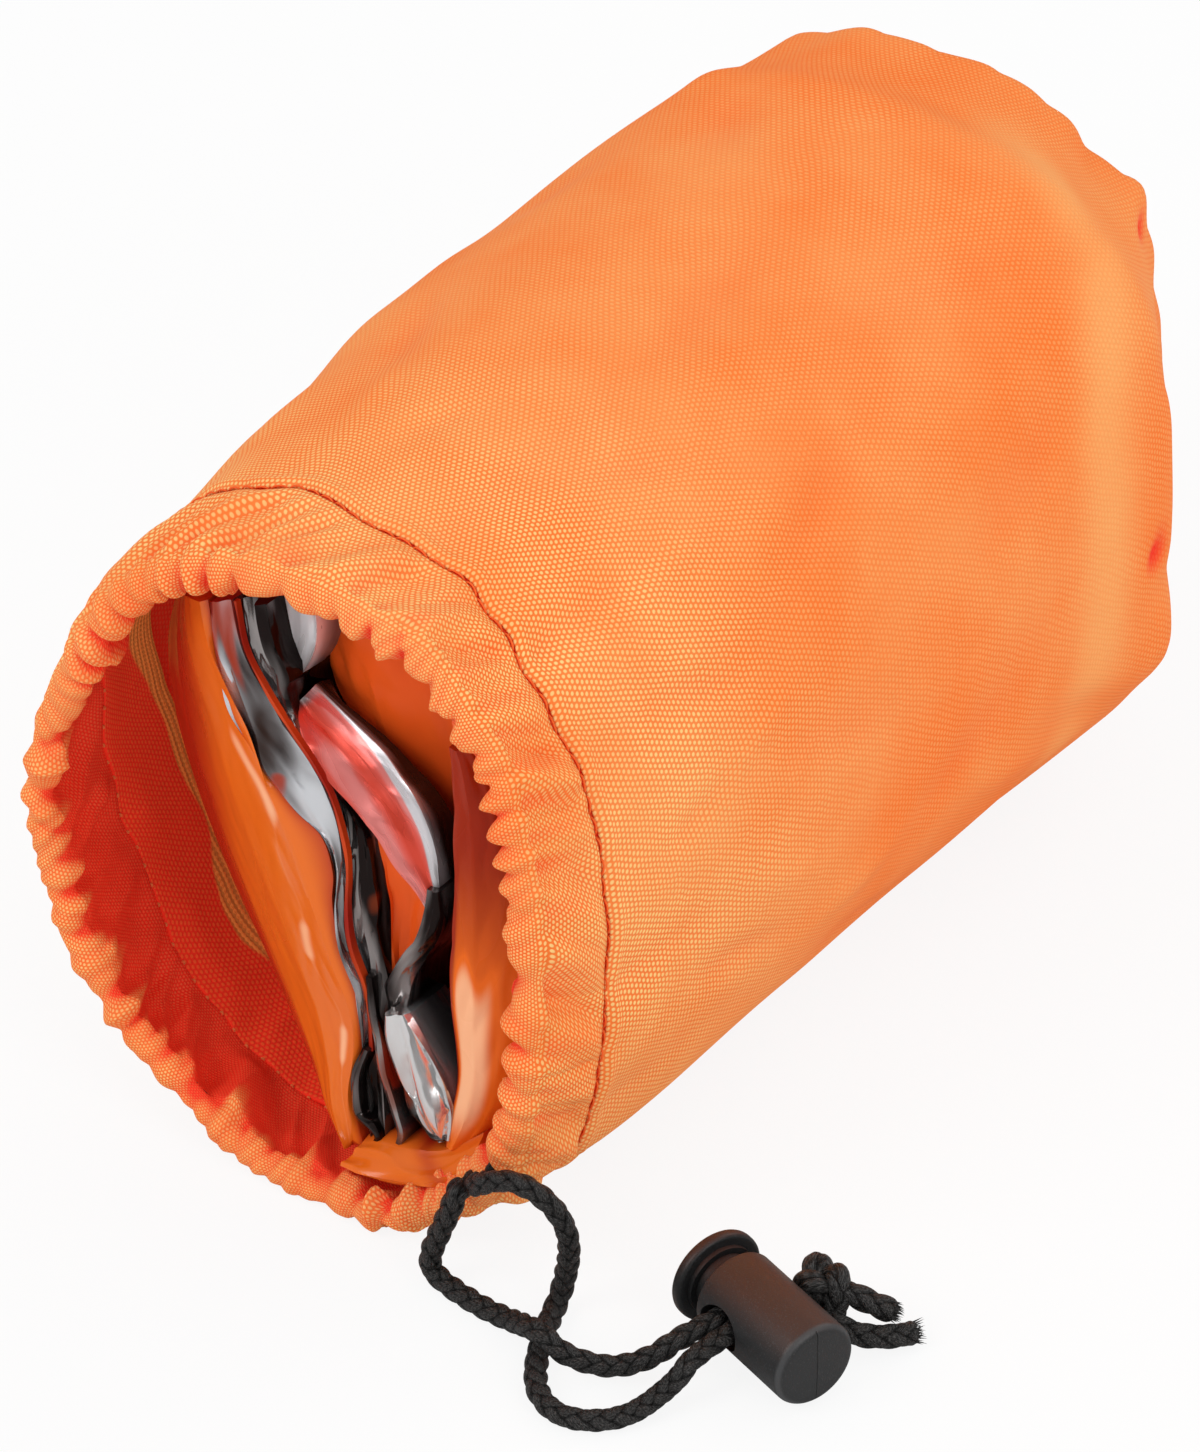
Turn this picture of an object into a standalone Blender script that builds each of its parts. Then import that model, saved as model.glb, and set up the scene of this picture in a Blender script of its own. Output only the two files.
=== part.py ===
# Emergency bivvy bag, folded into its drawstring stuff sack, as it lies on a table.
# Units are metres. +X is to the right of the mouth, +Y runs from the mouth to the base, +Z is up.
# The origin is on the table, under the middle of the sack.

import math

import bpy
import bmesh
from mathutils import Matrix, Vector

# Cloth, film and fit
FABRIC = 0.0006           # wall of the coated cloth, with its coating and loft
GAP = 0.0003              # clearance between pieces that touch
THREAD = 0.0006           # sewing thread

# Stuff sack
SACK_LENGTH = 0.174       # front of the gathered lip to the outside of the base
SHOULDER_WIDTH = 0.0914   # at the stitch line of the hem
SHOULDER_HEIGHT = 0.1012
SHOULDER_BOW = 0.004
BELLY_WIDTH = 0.1046      # where the sack is fattest, near the base
BELLY_HEIGHT = 0.1064
TAPER_LENGTH = 0.026      # from the belly to the edge of the base panel
BASE_WIDTH = 0.0820       # flat of the base panel
BASE_HEIGHT = 0.0955
BASE_LIFT = 0.0040        # lower edge of the base panel above the table
BASE_SHIFT = -0.0050      # the base leans to the left of the mouth
FLATTENED = 0.0011        # how far the underside is pressed flat by its own weight
SEAM_WIDTH = 0.008        # cloth turned in along a seam
SEAM_TURN = -42.0         # degrees around the sack, from the right, to its side seam
SEAM_ENDS = (0.16, 0.93)  # its ends, as shares of the way from stitch line to taper
SEAM_STEPS = 7

# Mouth and its drawcord hem
MOUTH_WIDTH = 0.0804      # between the cord's centres
MOUTH_HEIGHT = 0.0974
MOUTH_SHIFT = -0.0018     # the mouth stands this far to the left of the belly
MOUTH_LIFT = 0.0029       # lowest point of the cord's centre line above the table
MOUTH_BOW = 0.006         # top and bottom of the mouth stand this far to the right
HEM_DEPTH = 0.0180        # lip to stitch line
HEM_TILT = 0.05           # the stitch line lies further back at its top, as a slope
HEM_TURN = 0.05           # and further back on its left
HEM_EDGE = 0.0018         # hem at the stitch line
STITCH_CREASE = 0.0014    # depth of the crease that the stitches pull in
GATHERS = 52              # puckers around the mouth
GATHER_DEPTH = 0.0005     # how far a pucker stands out
GATHER_REACH = 0.0008     # how far a pucker stands forward
SELVEDGE_START = 0.004    # loose woven edge inside, past the stitch line
SELVEDGE_LENGTH = 0.0215

# Drawcord
CORD = 0.003
CORD_BORE = 0.0036        # channel in the hem
CORD_SPACING = 0.0060     # between the points of a cord's route
EXIT_LEAD = 0.0012        # straight cord on either side of its way out of the hem
STRAIGHT_LEAD = 0.0040    # straight cord in front of the lock, along which it slides
KNOT = 0.0082
KNOT_HEIGHT = 0.0092
KNOT_GROOVE = 0.10        # depth of the grooves between its turns, as a share
KNOT_TURNS = 3
KNOT_TWIST = 2.2

# Cord lock
LOCK_DIAMETER = 0.0126
LOCK_LENGTH = 0.0175
LOCK_WALL = 0.0016
LOCK_EDGE = 0.0009
FLANGE_DIAMETER = 0.0138
FLANGE_THICKNESS = 0.0018
STEP_DIAMETER = 0.0106    # raised ring between the plunger's flange and its shaft
STEP_THICKNESS = 0.0007
PLUNGER_TRAVEL = 0.0022
PLUNGER_WEB = 0.0015      # between the plunger's slot and its tip
HOLE_FROM_CAP = 0.0124    # cap face to the middle of the cord hole
HOLE_HEIGHT = 0.0050
SLOT_HEIGHT = 0.0044
SPRING_WIRE = 0.0005
SPRING_DIAMETER = 0.0062
SPRING_TURNS = 5
SPRING_STEPS = 12
LOCK_CAP = (0.0826, -0.0813)    # middle of the cap face on the table's plan
LOCK_HEADING = 159.5             # degrees, from the cap face to the plunger's head

# Folded bivvy bag
FOLD_FRONT = -0.0800      # front of the folds that show in the mouth
FOLD_LENGTH = 0.0160      # length of those folds before they join the core
FOLD_STAGGER = 0.001      # one fold behind the next
SHEET_EDGE = 0.0020       # the broad sheet at its left edge
SHEET_SWELL = 0.0014      # how far it bulges forward between that edge and its crease
SHEET_BACK = -0.0180      # how far its back reaches to the left in front of the core
CORE_CLEARANCE = 0.0024   # folded bag to the inside of the gathered lip
CORE_LEFT = 0.0150        # how far the core's front face reaches to the left
CORE_BEVEL = 0.0360       # length over which its left side falls back to full width
CORE_END = 0.0060         # core to the inside of the base panel
CORE_ROUNDING = 0.010     # length over which its far end is rounded

LIP_Y = -SACK_LENGTH / 2
BASE_Y = SACK_LENGTH / 2
STITCH_Y = LIP_Y + HEM_DEPTH
TAPER_Y = BASE_Y - TAPER_LENGTH
LIP_THICKNESS = CORD_BORE + 2 * (FABRIC + GATHER_DEPTH)
CORD_Y = LIP_Y + 2 * GATHER_REACH + FABRIC + CORD_BORE / 2
MOUTH_MIDDLE = (MOUTH_SHIFT, MOUTH_LIFT + MOUTH_HEIGHT / 2)
BASE_MIDDLE = (BASE_SHIFT, BASE_LIFT + BASE_HEIGHT / 2)
PANEL_POINTS = GATHERS
HEM_POINTS = GATHERS * 2

# Squareness of the sack's sections: 2 is an ellipse
MOUTH_SQUARENESS = 2.35
SHOULDER_SQUARENESS = 2.35
BASE_SQUARENESS = 2.55

# Share of the way from stitch line to taper, and share of the swelling from shoulder to belly
SWELLING = (
    (0.016, 0.01), (0.12, 0.14), (0.26, 0.40), (0.40, 0.62), (0.56, 0.74), (0.75, 0.88), (0.93, 1.0), (1.0, 1.0),
)
# Share of the way along the taper, and share of the narrowing from belly to base
TAPER = ((0.19, 0.20), (0.38, 0.40), (0.58, 0.60), (0.78, 0.80), (0.94, 0.95), (1.0, 1.0))
# Share of the way from stitch line to cord, share of the narrowing, share of the thickening
NARROWING = ((0.10, 0.04, 0.0), (0.38, 0.24, 0.15), (0.70, 0.62, 0.45), (0.92, 0.93, 0.92), (1.10, 1.0, 1.0))
BOW_END = 0.6             # share of the way to the taper at which the bow has gone

# Free stretches of the drawcord, as they lie: across, along and up, chosen by eye
EXIT_TURN = -40.0         # degrees around the mouth to the cord's way out
EXIT_SPREAD = 14.0        # degrees from there to where the cord lies in its channel
HIDDEN_STEPS = 28
LEFT_EXIT = (0.0304, -0.0872, 0.0164)
RIGHT_EXIT = (0.0337, -0.0872, 0.0190)
LEFT_LEG = [
    (0.0298, -0.0893, 0.0138), (0.0284, -0.0899, 0.0095), (0.0270, -0.0902, 0.0052), (0.0271, -0.0903, 0.0025),
    (0.0305, -0.0910, 0.0016), (0.0366, -0.0920, 0.0016), (0.0418, -0.0927, 0.0023), (0.0455, -0.0943, 0.0042),
    (0.0489, -0.0955, 0.0053), (0.0532, -0.0955, 0.0037), (0.0583, -0.0929, 0.0024), (0.0628, -0.0901, 0.0042),
]
RIGHT_LEG = [
    (0.0352, -0.0893, 0.0204), (0.0382, -0.0892, 0.0222), (0.0412, -0.0887, 0.0226), (0.0446, -0.0877, 0.0206),
    (0.0465, -0.0866, 0.0168), (0.0465, -0.0855, 0.0118), (0.0452, -0.0845, 0.0062), (0.0446, -0.0852, 0.0022),
    (0.0454, -0.0880, 0.0016), (0.0472, -0.0925, 0.0016), (0.0496, -0.0975, 0.0016), (0.0530, -0.1018, 0.0016),
    (0.0576, -0.1038, 0.0016), (0.0622, -0.1023, 0.0016), (0.0655, -0.0984, 0.0017), (0.0674, -0.0934, 0.0030),
    (0.0688, -0.0905, 0.0054),
]
LEFT_TAIL = [(0.0789, -0.0659, 0.0062), (0.0817, -0.0651, 0.0054), (0.0847, -0.0642, 0.0046)]
RIGHT_TAIL = [(0.0793, -0.0696, 0.0034), (0.0825, -0.0686, 0.0026), (0.0853, -0.0663, 0.0021), (0.0877, -0.0635, 0.002)]

# The broad sheet left of the folds, top to bottom: up, its left edge across and along, its crease and its right
# edge across
LEFT_SHEET = (
    (0.0840, -0.0255, -0.0700, -0.0173, -0.0156), (0.0780, -0.0295, -0.0688, -0.0146, -0.0126),
    (0.0700, -0.0332, -0.0662, -0.0108, -0.0082), (0.0600, -0.0355, -0.0640, -0.0068, -0.0036),
    (0.0500, -0.0355, -0.0626, -0.0025, 0.0022), (0.0400, -0.0330, -0.0623, 0.0013, 0.0036),
    (0.0320, -0.0283, -0.0632, 0.0040, 0.0060), (0.0240, -0.0202, -0.0662, 0.0052, 0.0069),
    (0.0170, -0.0120, -0.0698, 0.0052, 0.0070), (0.0120, -0.0068, -0.0725, 0.0053, 0.0071),
    (0.0094, -0.0030, -0.0740, 0.0056, 0.0072),
)
# Folds of the film that show in the mouth, top to bottom: across, up and thickness
FOIL_LEFT = (
    (-0.0121, 0.0880, 0.0036), (-0.0087, 0.0780, 0.0046), (-0.0037, 0.0705, 0.0048), (0.0023, 0.0628, 0.0036),
    (0.0049, 0.0550, 0.0022), (0.0059, 0.0480, 0.0014),
)
FOIL_MIDDLE = (
    (-0.0049, 0.0900, 0.0026), (-0.0003, 0.0790, 0.0028), (0.0039, 0.0715, 0.0028), (0.0077, 0.0630, 0.0026),
    (0.0093, 0.0540, 0.0026), (0.0100, 0.0440, 0.0026), (0.0106, 0.0340, 0.0026), (0.0111, 0.0220, 0.0026),
    (0.0117, 0.0112, 0.0022),
)
FOIL_RIGHT = (
    (0.0066, 0.0820, 0.0030), (0.0121, 0.0745, 0.0032), (0.0173, 0.0680, 0.0032), (0.0201, 0.0610, 0.0030),
    (0.0205, 0.0545, 0.0026), (0.0184, 0.0478, 0.0024), (0.0157, 0.0415, 0.0024), (0.0149, 0.0350, 0.0024),
    (0.0167, 0.0300, 0.0024), (0.0191, 0.0250, 0.0024), (0.0199, 0.0190, 0.0024), (0.0181, 0.0132, 0.0022),
)
RIGHT_FOLD = (
    (0.0243, 0.0805, 0.0060), (0.0264, 0.0735, 0.0080), (0.0274, 0.0620, 0.0092), (0.0277, 0.0520, 0.0094),
    (0.0273, 0.0420, 0.0094), (0.0267, 0.0310, 0.0080), (0.0248, 0.0205, 0.0050), (0.0225, 0.0148, 0.0022),
)
BOTTOM_FOLD = ((0.0001, 0.0078, 0.0018), (0.0061, 0.0076, 0.0018), (0.0121, 0.0078, 0.0018), (0.0177, 0.0096, 0.0018))

ORANGE_CLOTH = (0.95, 0.31, 0.06)
PALE_CLOTH = (0.95, 0.42, 0.12)
RED_THREAD = (0.75, 0.12, 0.02)
ORANGE_FILM = (0.85, 0.22, 0.02)
SILVER_FILM = (0.75, 0.74, 0.73)
BLACK_CORD = (0.02, 0.02, 0.02)
BLACK_PLASTIC = (0.04, 0.038, 0.036)
SPRING_STEEL = (0.6, 0.6, 0.6)


def material(name, colour, roughness, metallic=0.0):
    """A plain finish for one sub-part."""
    finish = bpy.data.materials.new(name)
    finish.use_nodes = True
    surface = finish.node_tree.nodes["Principled BSDF"]
    surface.inputs["Base Color"].default_value = (*colour, 1.0)
    surface.inputs["Roughness"].default_value = roughness
    surface.inputs["Metallic"].default_value = metallic
    finish.diffuse_color = (*colour, 1.0)
    return finish


def collection(name):
    group = bpy.data.collections.new(name)
    bpy.context.scene.collection.children.link(group)
    return group


def add_object(name, data, group, finish=None):
    """Link a mesh or curve under its node's name."""
    item = bpy.data.objects.new(name, data)
    group.objects.link(item)
    if finish:
        data.materials.append(finish)
    return item


def mesh_from(name, bm, sharp=40):
    mesh = bpy.data.meshes.new(name)
    bm.to_mesh(mesh)
    bm.free()
    mesh.shade_smooth()
    mesh.set_sharp_from_angle(angle=math.radians(sharp))
    return mesh


def mix(a, b, share):
    return a + (b - a) * share


def oval(half_width, half_height, squareness, turn):
    """A point on a squarish oval, turned from its right-hand end."""
    across = math.copysign(abs(math.cos(turn)) ** (2 / squareness), math.cos(turn))
    up = math.copysign(abs(math.sin(turn)) ** (2 / squareness), math.sin(turn))
    return across * half_width, up * half_height


def ring_around(y, middle, half_width, half_height, squareness, bow=0.0, floor=0.0, points=PANEL_POINTS,
                pucker=0.0, lean=0.0):
    """One ring around the sack. middle is across and up; what is below floor is pressed flat.
    pucker is the share of the gathers' full depth, and lean the share of the stitch line's slopes."""
    ring = []
    for step in range(points):
        turn = math.tau * step / points
        wave = pucker * math.cos(GATHERS * turn)
        x, z = oval(half_width + wave * GATHER_DEPTH, half_height + wave * GATHER_DEPTH, squareness, turn)
        back = lean * (HEM_TILT * z - HEM_TURN * x)
        x += middle[0] + bow * (z / half_height) ** 2
        ring.append(Vector((x, y + back - wave * GATHER_REACH, max(middle[1] + z, floor))))
    return ring


def loft(rings, around=False, capped=False):
    """Skin a row of rings. around joins the last ring to the first, and capped closes both ends."""
    bm = bmesh.new()
    rows = [[bm.verts.new(point) for point in ring] for ring in rings]
    pairs = list(zip(rows, rows[1:]))
    if around:
        pairs.append((rows[-1], rows[0]))
    for near, far in pairs:
        for step in range(len(near)):
            following = (step + 1) % len(near)
            bm.faces.new((near[step], far[step], far[following], near[following]))
    if capped:
        bm.faces.new(rows[0])
        bm.faces.new(list(reversed(rows[-1])))
    if around or capped:
        bmesh.ops.recalc_face_normals(bm, faces=bm.faces)
    return bm


def smooth_route(points, spacing):
    """Points at an even spacing along a smooth curve through the given ones."""
    points = [Vector(point) for point in points]
    ends = [2 * points[0] - points[1]] + points + [2 * points[-1] - points[-2]]
    fine = []
    steps = 12
    for before, start, end, after in zip(ends, ends[1:], ends[2:], ends[3:]):
        for step in range(steps):
            t = step / steps
            fine.append(0.5 * (2 * start + (end - before) * t
                               + (2 * before - 5 * start + 4 * end - after) * t * t
                               + (3 * start - before - 3 * end + after) * t ** 3))
    fine.append(points[-1].copy())
    lengths = [(b - a).length for a, b in zip(fine, fine[1:])]
    count = max(2, round(sum(lengths) / spacing))
    stride = sum(lengths) / count
    even = [fine[0]]
    travelled = 0.0
    for a, b, length in zip(fine, fine[1:], lengths):
        while len(even) < count and travelled + length >= stride * len(even):
            even.append(a.lerp(b, (stride * len(even) - travelled) / length))
        travelled += length
    even.append(fine[-1])
    return even


def tube(name, points, diameter, group, finish, closed=False, sides=2):
    """A round cord along a row of points."""
    curve = bpy.data.curves.new(name, "CURVE")
    curve.dimensions = "3D"
    spline = curve.splines.new("POLY")
    spline.points.add(len(points) - 1)
    for place, point in zip(spline.points, points):
        place.co = (*point, 1.0)
    spline.use_cyclic_u = closed
    curve.bevel_depth = diameter / 2
    curve.bevel_resolution = sides
    curve.use_fill_caps = True
    return add_object(name, curve, group, finish)


def as_mesh(source):
    """Replace a tube by its mesh, with its caps joined, for cutting."""
    graph = bpy.context.evaluated_depsgraph_get()
    mesh = bpy.data.meshes.new_from_object(source.evaluated_get(graph))
    name, group, curve = source.name, source.users_collection[0], source.data
    bpy.data.objects.remove(source)
    bpy.data.curves.remove(curve)
    bm = bmesh.new()
    bm.from_mesh(mesh)
    bmesh.ops.remove_doubles(bm, verts=bm.verts, dist=0.00001)
    bmesh.ops.recalc_face_normals(bm, faces=bm.faces)
    bm.to_mesh(mesh)
    bm.free()
    return add_object(name, mesh, group)


def turned(name, profile, group, finish, segments=32):
    """A solid of revolution about its own Z, from radius and height pairs."""
    mesh = bpy.data.meshes.new(name)
    bm = bmesh.new()
    row = [bm.verts.new((radius, 0, height)) for radius, height in profile]
    for a, b in zip(row, row[1:]):
        bm.edges.new((a, b))
    bm.to_mesh(mesh)
    bm.free()
    item = add_object(name, mesh, group, finish)
    spin = item.modifiers.new("turn", "SCREW")
    spin.steps = segments
    spin.render_steps = segments
    spin.use_merge_vertices = True
    spin.merge_threshold = 0.00001
    spin.use_normal_calculate = True
    return item


def cut(item, cutter, name):
    cutter.hide_render = True
    cutter.display_type = "WIRE"
    tool = item.modifiers.new(name, "BOOLEAN")
    tool.operation = "DIFFERENCE"
    tool.solver = "EXACT"
    tool.object = cutter


def section(share):
    """The side panel's section between stitch line and taper: y, middle, half sizes, squareness and bow."""
    swell = SWELLING[-1][1]
    rows = ((0.0, 0.0),) + SWELLING
    for (start, low), (end, high) in zip(rows, rows[1:]):
        if share <= end:
            swell = mix(low, high, (share - start) / (end - start))
            break
    half_width = mix(SHOULDER_WIDTH, BELLY_WIDTH, swell) / 2
    half_height = mix(SHOULDER_HEIGHT, BELLY_HEIGHT, swell) / 2
    middle = (MOUTH_SHIFT * (1 - swell), half_height - FLATTENED)
    squareness = mix(SHOULDER_SQUARENESS, BASE_SQUARENESS, share)
    bow = SHOULDER_BOW * max(0.0, 1 - share / BOW_END)
    return mix(STITCH_Y + GAP, TAPER_Y, share), middle, half_width, half_height, squareness, bow


def panel_ring(share, inset=0.0):
    """A ring of the side panel. inset draws it in, for a crease, a wall or a piece inside it."""
    y, middle, half_width, half_height, squareness, bow = section(share)
    return ring_around(y, middle, half_width - inset, half_height - inset, squareness, bow, inset, lean=1 - share)


def side_panel(group):
    """The sewn tube of coated cloth, from the hem's stitch line to the base seam."""
    rings = [panel_ring(0.0, STITCH_CREASE)]
    rings += [panel_ring(share) for share, swell in SWELLING]
    belly_middle = BELLY_HEIGHT / 2 - FLATTENED
    for share, narrow in TAPER:
        middle = (BASE_SHIFT * narrow, mix(belly_middle, BASE_MIDDLE[1], narrow))
        rings.append(ring_around(mix(TAPER_Y, BASE_Y, share), middle, mix(BELLY_WIDTH, BASE_WIDTH, narrow) / 2,
                                 mix(BELLY_HEIGHT, BASE_HEIGHT, narrow) / 2, BASE_SQUARENESS))
    item = add_object("side_panel", mesh_from("side_panel", loft(rings)), group,
                      material("side_panel", ORANGE_CLOTH, 0.7))
    wall = item.modifiers.new("cloth", "SOLIDIFY")
    wall.thickness = FABRIC
    wall.offset = -1
    return item


def base_panel(group):
    """The round end panel that closes the sack."""
    half_width = BASE_WIDTH / 2 - 2 * GAP - FABRIC
    half_height = BASE_HEIGHT / 2 - 2 * GAP - FABRIC
    rings = [ring_around(y, BASE_MIDDLE, half_width, half_height, BASE_SQUARENESS)
             for y in (BASE_Y - FABRIC, BASE_Y)]
    bm = loft(rings, capped=True)
    return add_object("base_panel", mesh_from("base_panel", bm), group, material("base_panel", ORANGE_CLOTH, 0.7))


def base_seam(group):
    """The raw edges of side and base, sewn together and standing inwards along the base."""
    outer = 2 * FABRIC + GAP
    back = BASE_Y - FABRIC - 2 * GAP
    front = back - SEAM_WIDTH
    rings = []
    for y, inset in ((front, outer), (back, outer), (back, outer + 2 * FABRIC), (front, outer + 2 * FABRIC)):
        rings.append(ring_around(y, BASE_MIDDLE, BASE_WIDTH / 2 - inset, BASE_HEIGHT / 2 - inset, BASE_SQUARENESS))
    bm = loft(rings, around=True)
    return add_object("base_seam", mesh_from("base_seam", bm), group, material("base_seam", ORANGE_CLOTH, 0.8))


def side_seam(group):
    """The long seam of the side panel, folded flat against its inside."""
    outer = FABRIC + 2 * GAP
    inner = outer + 2 * FABRIC
    half_turn = math.degrees(SEAM_WIDTH / BELLY_WIDTH)
    rings = []
    for step in range(SEAM_STEPS + 1):
        share = mix(*SEAM_ENDS, step / SEAM_STEPS)
        y, middle, half_width, half_height, squareness, bow = section(share)
        corners = []
        for inset, side in ((outer, -1), (outer, 1), (inner, 1), (inner, -1)):
            turn = math.radians(SEAM_TURN + side * half_turn)
            x, z = oval(half_width - inset, half_height - inset, squareness, turn)
            corners.append(Vector((middle[0] + x + bow * (z / half_height) ** 2, y, middle[1] + z)))
        rings.append(corners)
    bm = loft(rings, capped=True)
    return add_object("side_seam", mesh_from("side_seam", bm), group, material("side_seam", ORANGE_CLOTH, 0.8))


def hem_ring(share, narrow, thick, inside=False, crease=0.0):
    """A ring of the drawcord hem, on its outside or inside."""
    half_width = mix(SHOULDER_WIDTH / 2, MOUTH_WIDTH / 2 + LIP_THICKNESS / 2, narrow) - crease
    half_height = mix(SHOULDER_HEIGHT / 2, MOUTH_HEIGHT / 2 + LIP_THICKNESS / 2, narrow) - crease
    middle = (MOUTH_SHIFT, mix(SHOULDER_HEIGHT / 2 - FLATTENED, MOUTH_MIDDLE[1], narrow))
    floor = crease
    if inside:
        wall = mix(HEM_EDGE, LIP_THICKNESS, thick)
        half_width -= wall
        half_height -= wall
        floor += wall
    squareness = mix(SHOULDER_SQUARENESS, MOUTH_SQUARENESS, narrow)
    bow = mix(SHOULDER_BOW, MOUTH_BOW, narrow)
    y = mix(STITCH_Y - GAP, CORD_Y, share)
    return ring_around(y, middle, half_width, half_height, squareness, bow, floor, HEM_POINTS, narrow ** 2,
                       max(0.0, 1 - share))


def mouth_point(turn):
    """A point on the drawcord's line around the mouth."""
    half_height = MOUTH_HEIGHT / 2
    x, z = oval(MOUTH_WIDTH / 2, half_height, MOUTH_SQUARENESS, turn)
    return Vector((x + MOUTH_MIDDLE[0] + MOUTH_BOW * (z / half_height) ** 2, CORD_Y, MOUTH_MIDDLE[1] + z))


def inward(point, length):
    """The point at this distance from a cord's exit, into the hem or, when negative, out of it."""
    return Vector(point) + Vector((0, length, 0))


def hidden_route():
    """The drawcord's line from its left way out, around the mouth in its channel, to the right way out."""
    around = 360 - 2 * EXIT_SPREAD
    turns = [EXIT_TURN - EXIT_SPREAD - around * step / HIDDEN_STEPS for step in range(HIDDEN_STEPS + 1)]
    bend = smooth_route([inward(LEFT_EXIT, EXIT_LEAD)] + [mouth_point(math.radians(turn)) for turn in turns]
                        + [inward(RIGHT_EXIT, EXIT_LEAD)], CORD_SPACING)
    return [Vector(LEFT_EXIT)] + bend + [Vector(RIGHT_EXIT)]


def drawcord_hem(group, cutters):
    """The mouth's edge, folded in over the drawcord, gathered by it and sewn down."""
    rings = [hem_ring(0.0, 0.0, 0.0, crease=STITCH_CREASE)]
    rings += [hem_ring(*row) for row in NARROWING]
    rings.append(ring_around(LIP_Y + GATHER_REACH, MOUTH_MIDDLE, MOUTH_WIDTH / 2, MOUTH_HEIGHT / 2,
                             MOUTH_SQUARENESS, MOUTH_BOW, 0.0, HEM_POINTS, 1.0))
    rings += [hem_ring(*row, inside=True) for row in reversed(NARROWING)]
    rings.append(hem_ring(0.0, 0.0, 0.0, inside=True, crease=STITCH_CREASE))
    bm = loft(rings, around=True)
    item = add_object("drawcord_hem", mesh_from("drawcord_hem", bm), group,
                      material("drawcord_hem", ORANGE_CLOTH, 0.75))
    route = hidden_route()
    route = [inward(route[0], -CORD)] + route + [inward(route[-1], -CORD)]
    channel = as_mesh(tube("cord_channel", route, CORD_BORE, cutters, None))
    cut(item, channel, "cord_channel")
    return item


def hem_stitching(group):
    """The row of thread that closes the hem, in the crease that it pulls in."""
    inset = STITCH_CREASE - GAP - THREAD / 2
    half_height = SHOULDER_HEIGHT / 2
    ring = ring_around(STITCH_Y, (MOUTH_SHIFT, half_height - FLATTENED), SHOULDER_WIDTH / 2 - inset,
                       half_height - inset, SHOULDER_SQUARENESS, SHOULDER_BOW, inset, lean=1.0)
    return tube("hem_stitching", ring, THREAD, group, material("hem_stitching", RED_THREAD, 0.6), True, 0)


def hem_selvedge(group):
    """The woven edge of the turned-in cloth, loose past the stitch line."""
    length = TAPER_Y - STITCH_Y
    start, end = SELVEDGE_START / length, SELVEDGE_LENGTH / length
    outer = FABRIC + GAP
    rings = []
    for share, inset in ((start, outer), (end, outer), (end, outer + FABRIC), (start, outer + FABRIC)):
        rings.append(panel_ring(share, inset))
    bm = loft(rings, around=True)
    return add_object("hem_selvedge", mesh_from("hem_selvedge", bm), group,
                      material("hem_selvedge", PALE_CLOTH, 0.8))


def lock_axes():
    """Directions along the lock from cap to plunger head, and through its cord hole away from the sack."""
    heading = math.radians(LOCK_HEADING)
    along = Vector((math.cos(heading), math.sin(heading), 0))
    through = Vector((along.y, -along.x, 0))
    return along, through


def lock_place():
    """The lock's frame: origin in the middle of its cap face, X up, Z towards the plunger's head."""
    along, through = lock_axes()
    up = Vector((0, 0, 1))
    turn = Matrix((up, through, along)).transposed().to_4x4()
    return Matrix.Translation((*LOCK_CAP, FLANGE_DIAMETER / 2)) @ turn


def hole_centre():
    return lock_place() @ Vector((0, 0, HOLE_FROM_CAP))


def knot_centre():
    beside = lock_place() @ Vector((0, LOCK_DIAMETER / 2 + GAP + KNOT / 2, HOLE_FROM_CAP))
    return Vector((beside.x, beside.y, KNOT_HEIGHT / 2 + GAP))


def leg_route(exit_point, free, side):
    """A leg's points: out of the hem, along the table, and straight through the lock to the knot."""
    along, through = lock_axes()
    line = hole_centre() + along * side * (CORD + GAP) / 2
    reach = LOCK_DIAMETER / 2
    start = inward(exit_point, -GAP)
    loose = smooth_route([inward(start, -EXIT_LEAD)] + free + [line - through * (reach + STRAIGHT_LEAD)], CORD_SPACING)
    return [start] + loose + [line + through * reach]


def drawcord(group):
    """One braided cord: hidden in the hem, two free legs, the knot that joins them, and two cut tails."""
    finish = material("drawcord", BLACK_CORD, 0.6)
    tube("drawcord_in_hem", hidden_route(), CORD, group, finish)
    tube("drawcord_leg_left", leg_route(LEFT_EXIT, LEFT_LEG, 1), CORD, group, finish)
    tube("drawcord_leg_right", leg_route(RIGHT_EXIT, RIGHT_LEG, -1), CORD, group, finish)
    centre = knot_centre()
    for name, points in (("drawcord_tail_left", LEFT_TAIL), ("drawcord_tail_right", RIGHT_TAIL)):
        way = (Vector(points[0]) - centre).normalized()
        tube(name, smooth_route([centre + way * (KNOT_HEIGHT / 2 + GAP)] + points, CORD_SPACING / 2), CORD, group,
             finish)
    knot(group, finish)


def knot(group, finish):
    """An overhand knot in both legs, as a lump with the grooves between its turns."""
    bm = bmesh.new()
    bmesh.ops.create_uvsphere(bm, u_segments=20, v_segments=12, radius=1.0)
    for vert in bm.verts:
        x, y, z = vert.co
        wave = 0.5 + 0.5 * math.cos(KNOT_TURNS * math.atan2(y, x) + KNOT_TWIST * z)
        wide = KNOT / 2 * (1 - KNOT_GROOVE * wave * (1 - z * z))
        vert.co = Vector((x * wide, y * wide, z * KNOT_HEIGHT / 2))
    item = add_object("drawcord_knot", mesh_from("drawcord_knot", bm, 60), group, finish)
    item.matrix_world = Matrix.Translation(knot_centre()) @ Matrix.Rotation(math.radians(LOCK_HEADING), 4, "Z")
    return item


def hole_half_length():
    """Half the cord hole along the lock: two cords side by side and their clearances."""
    return CORD + GAP / 2 + GAP


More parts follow.
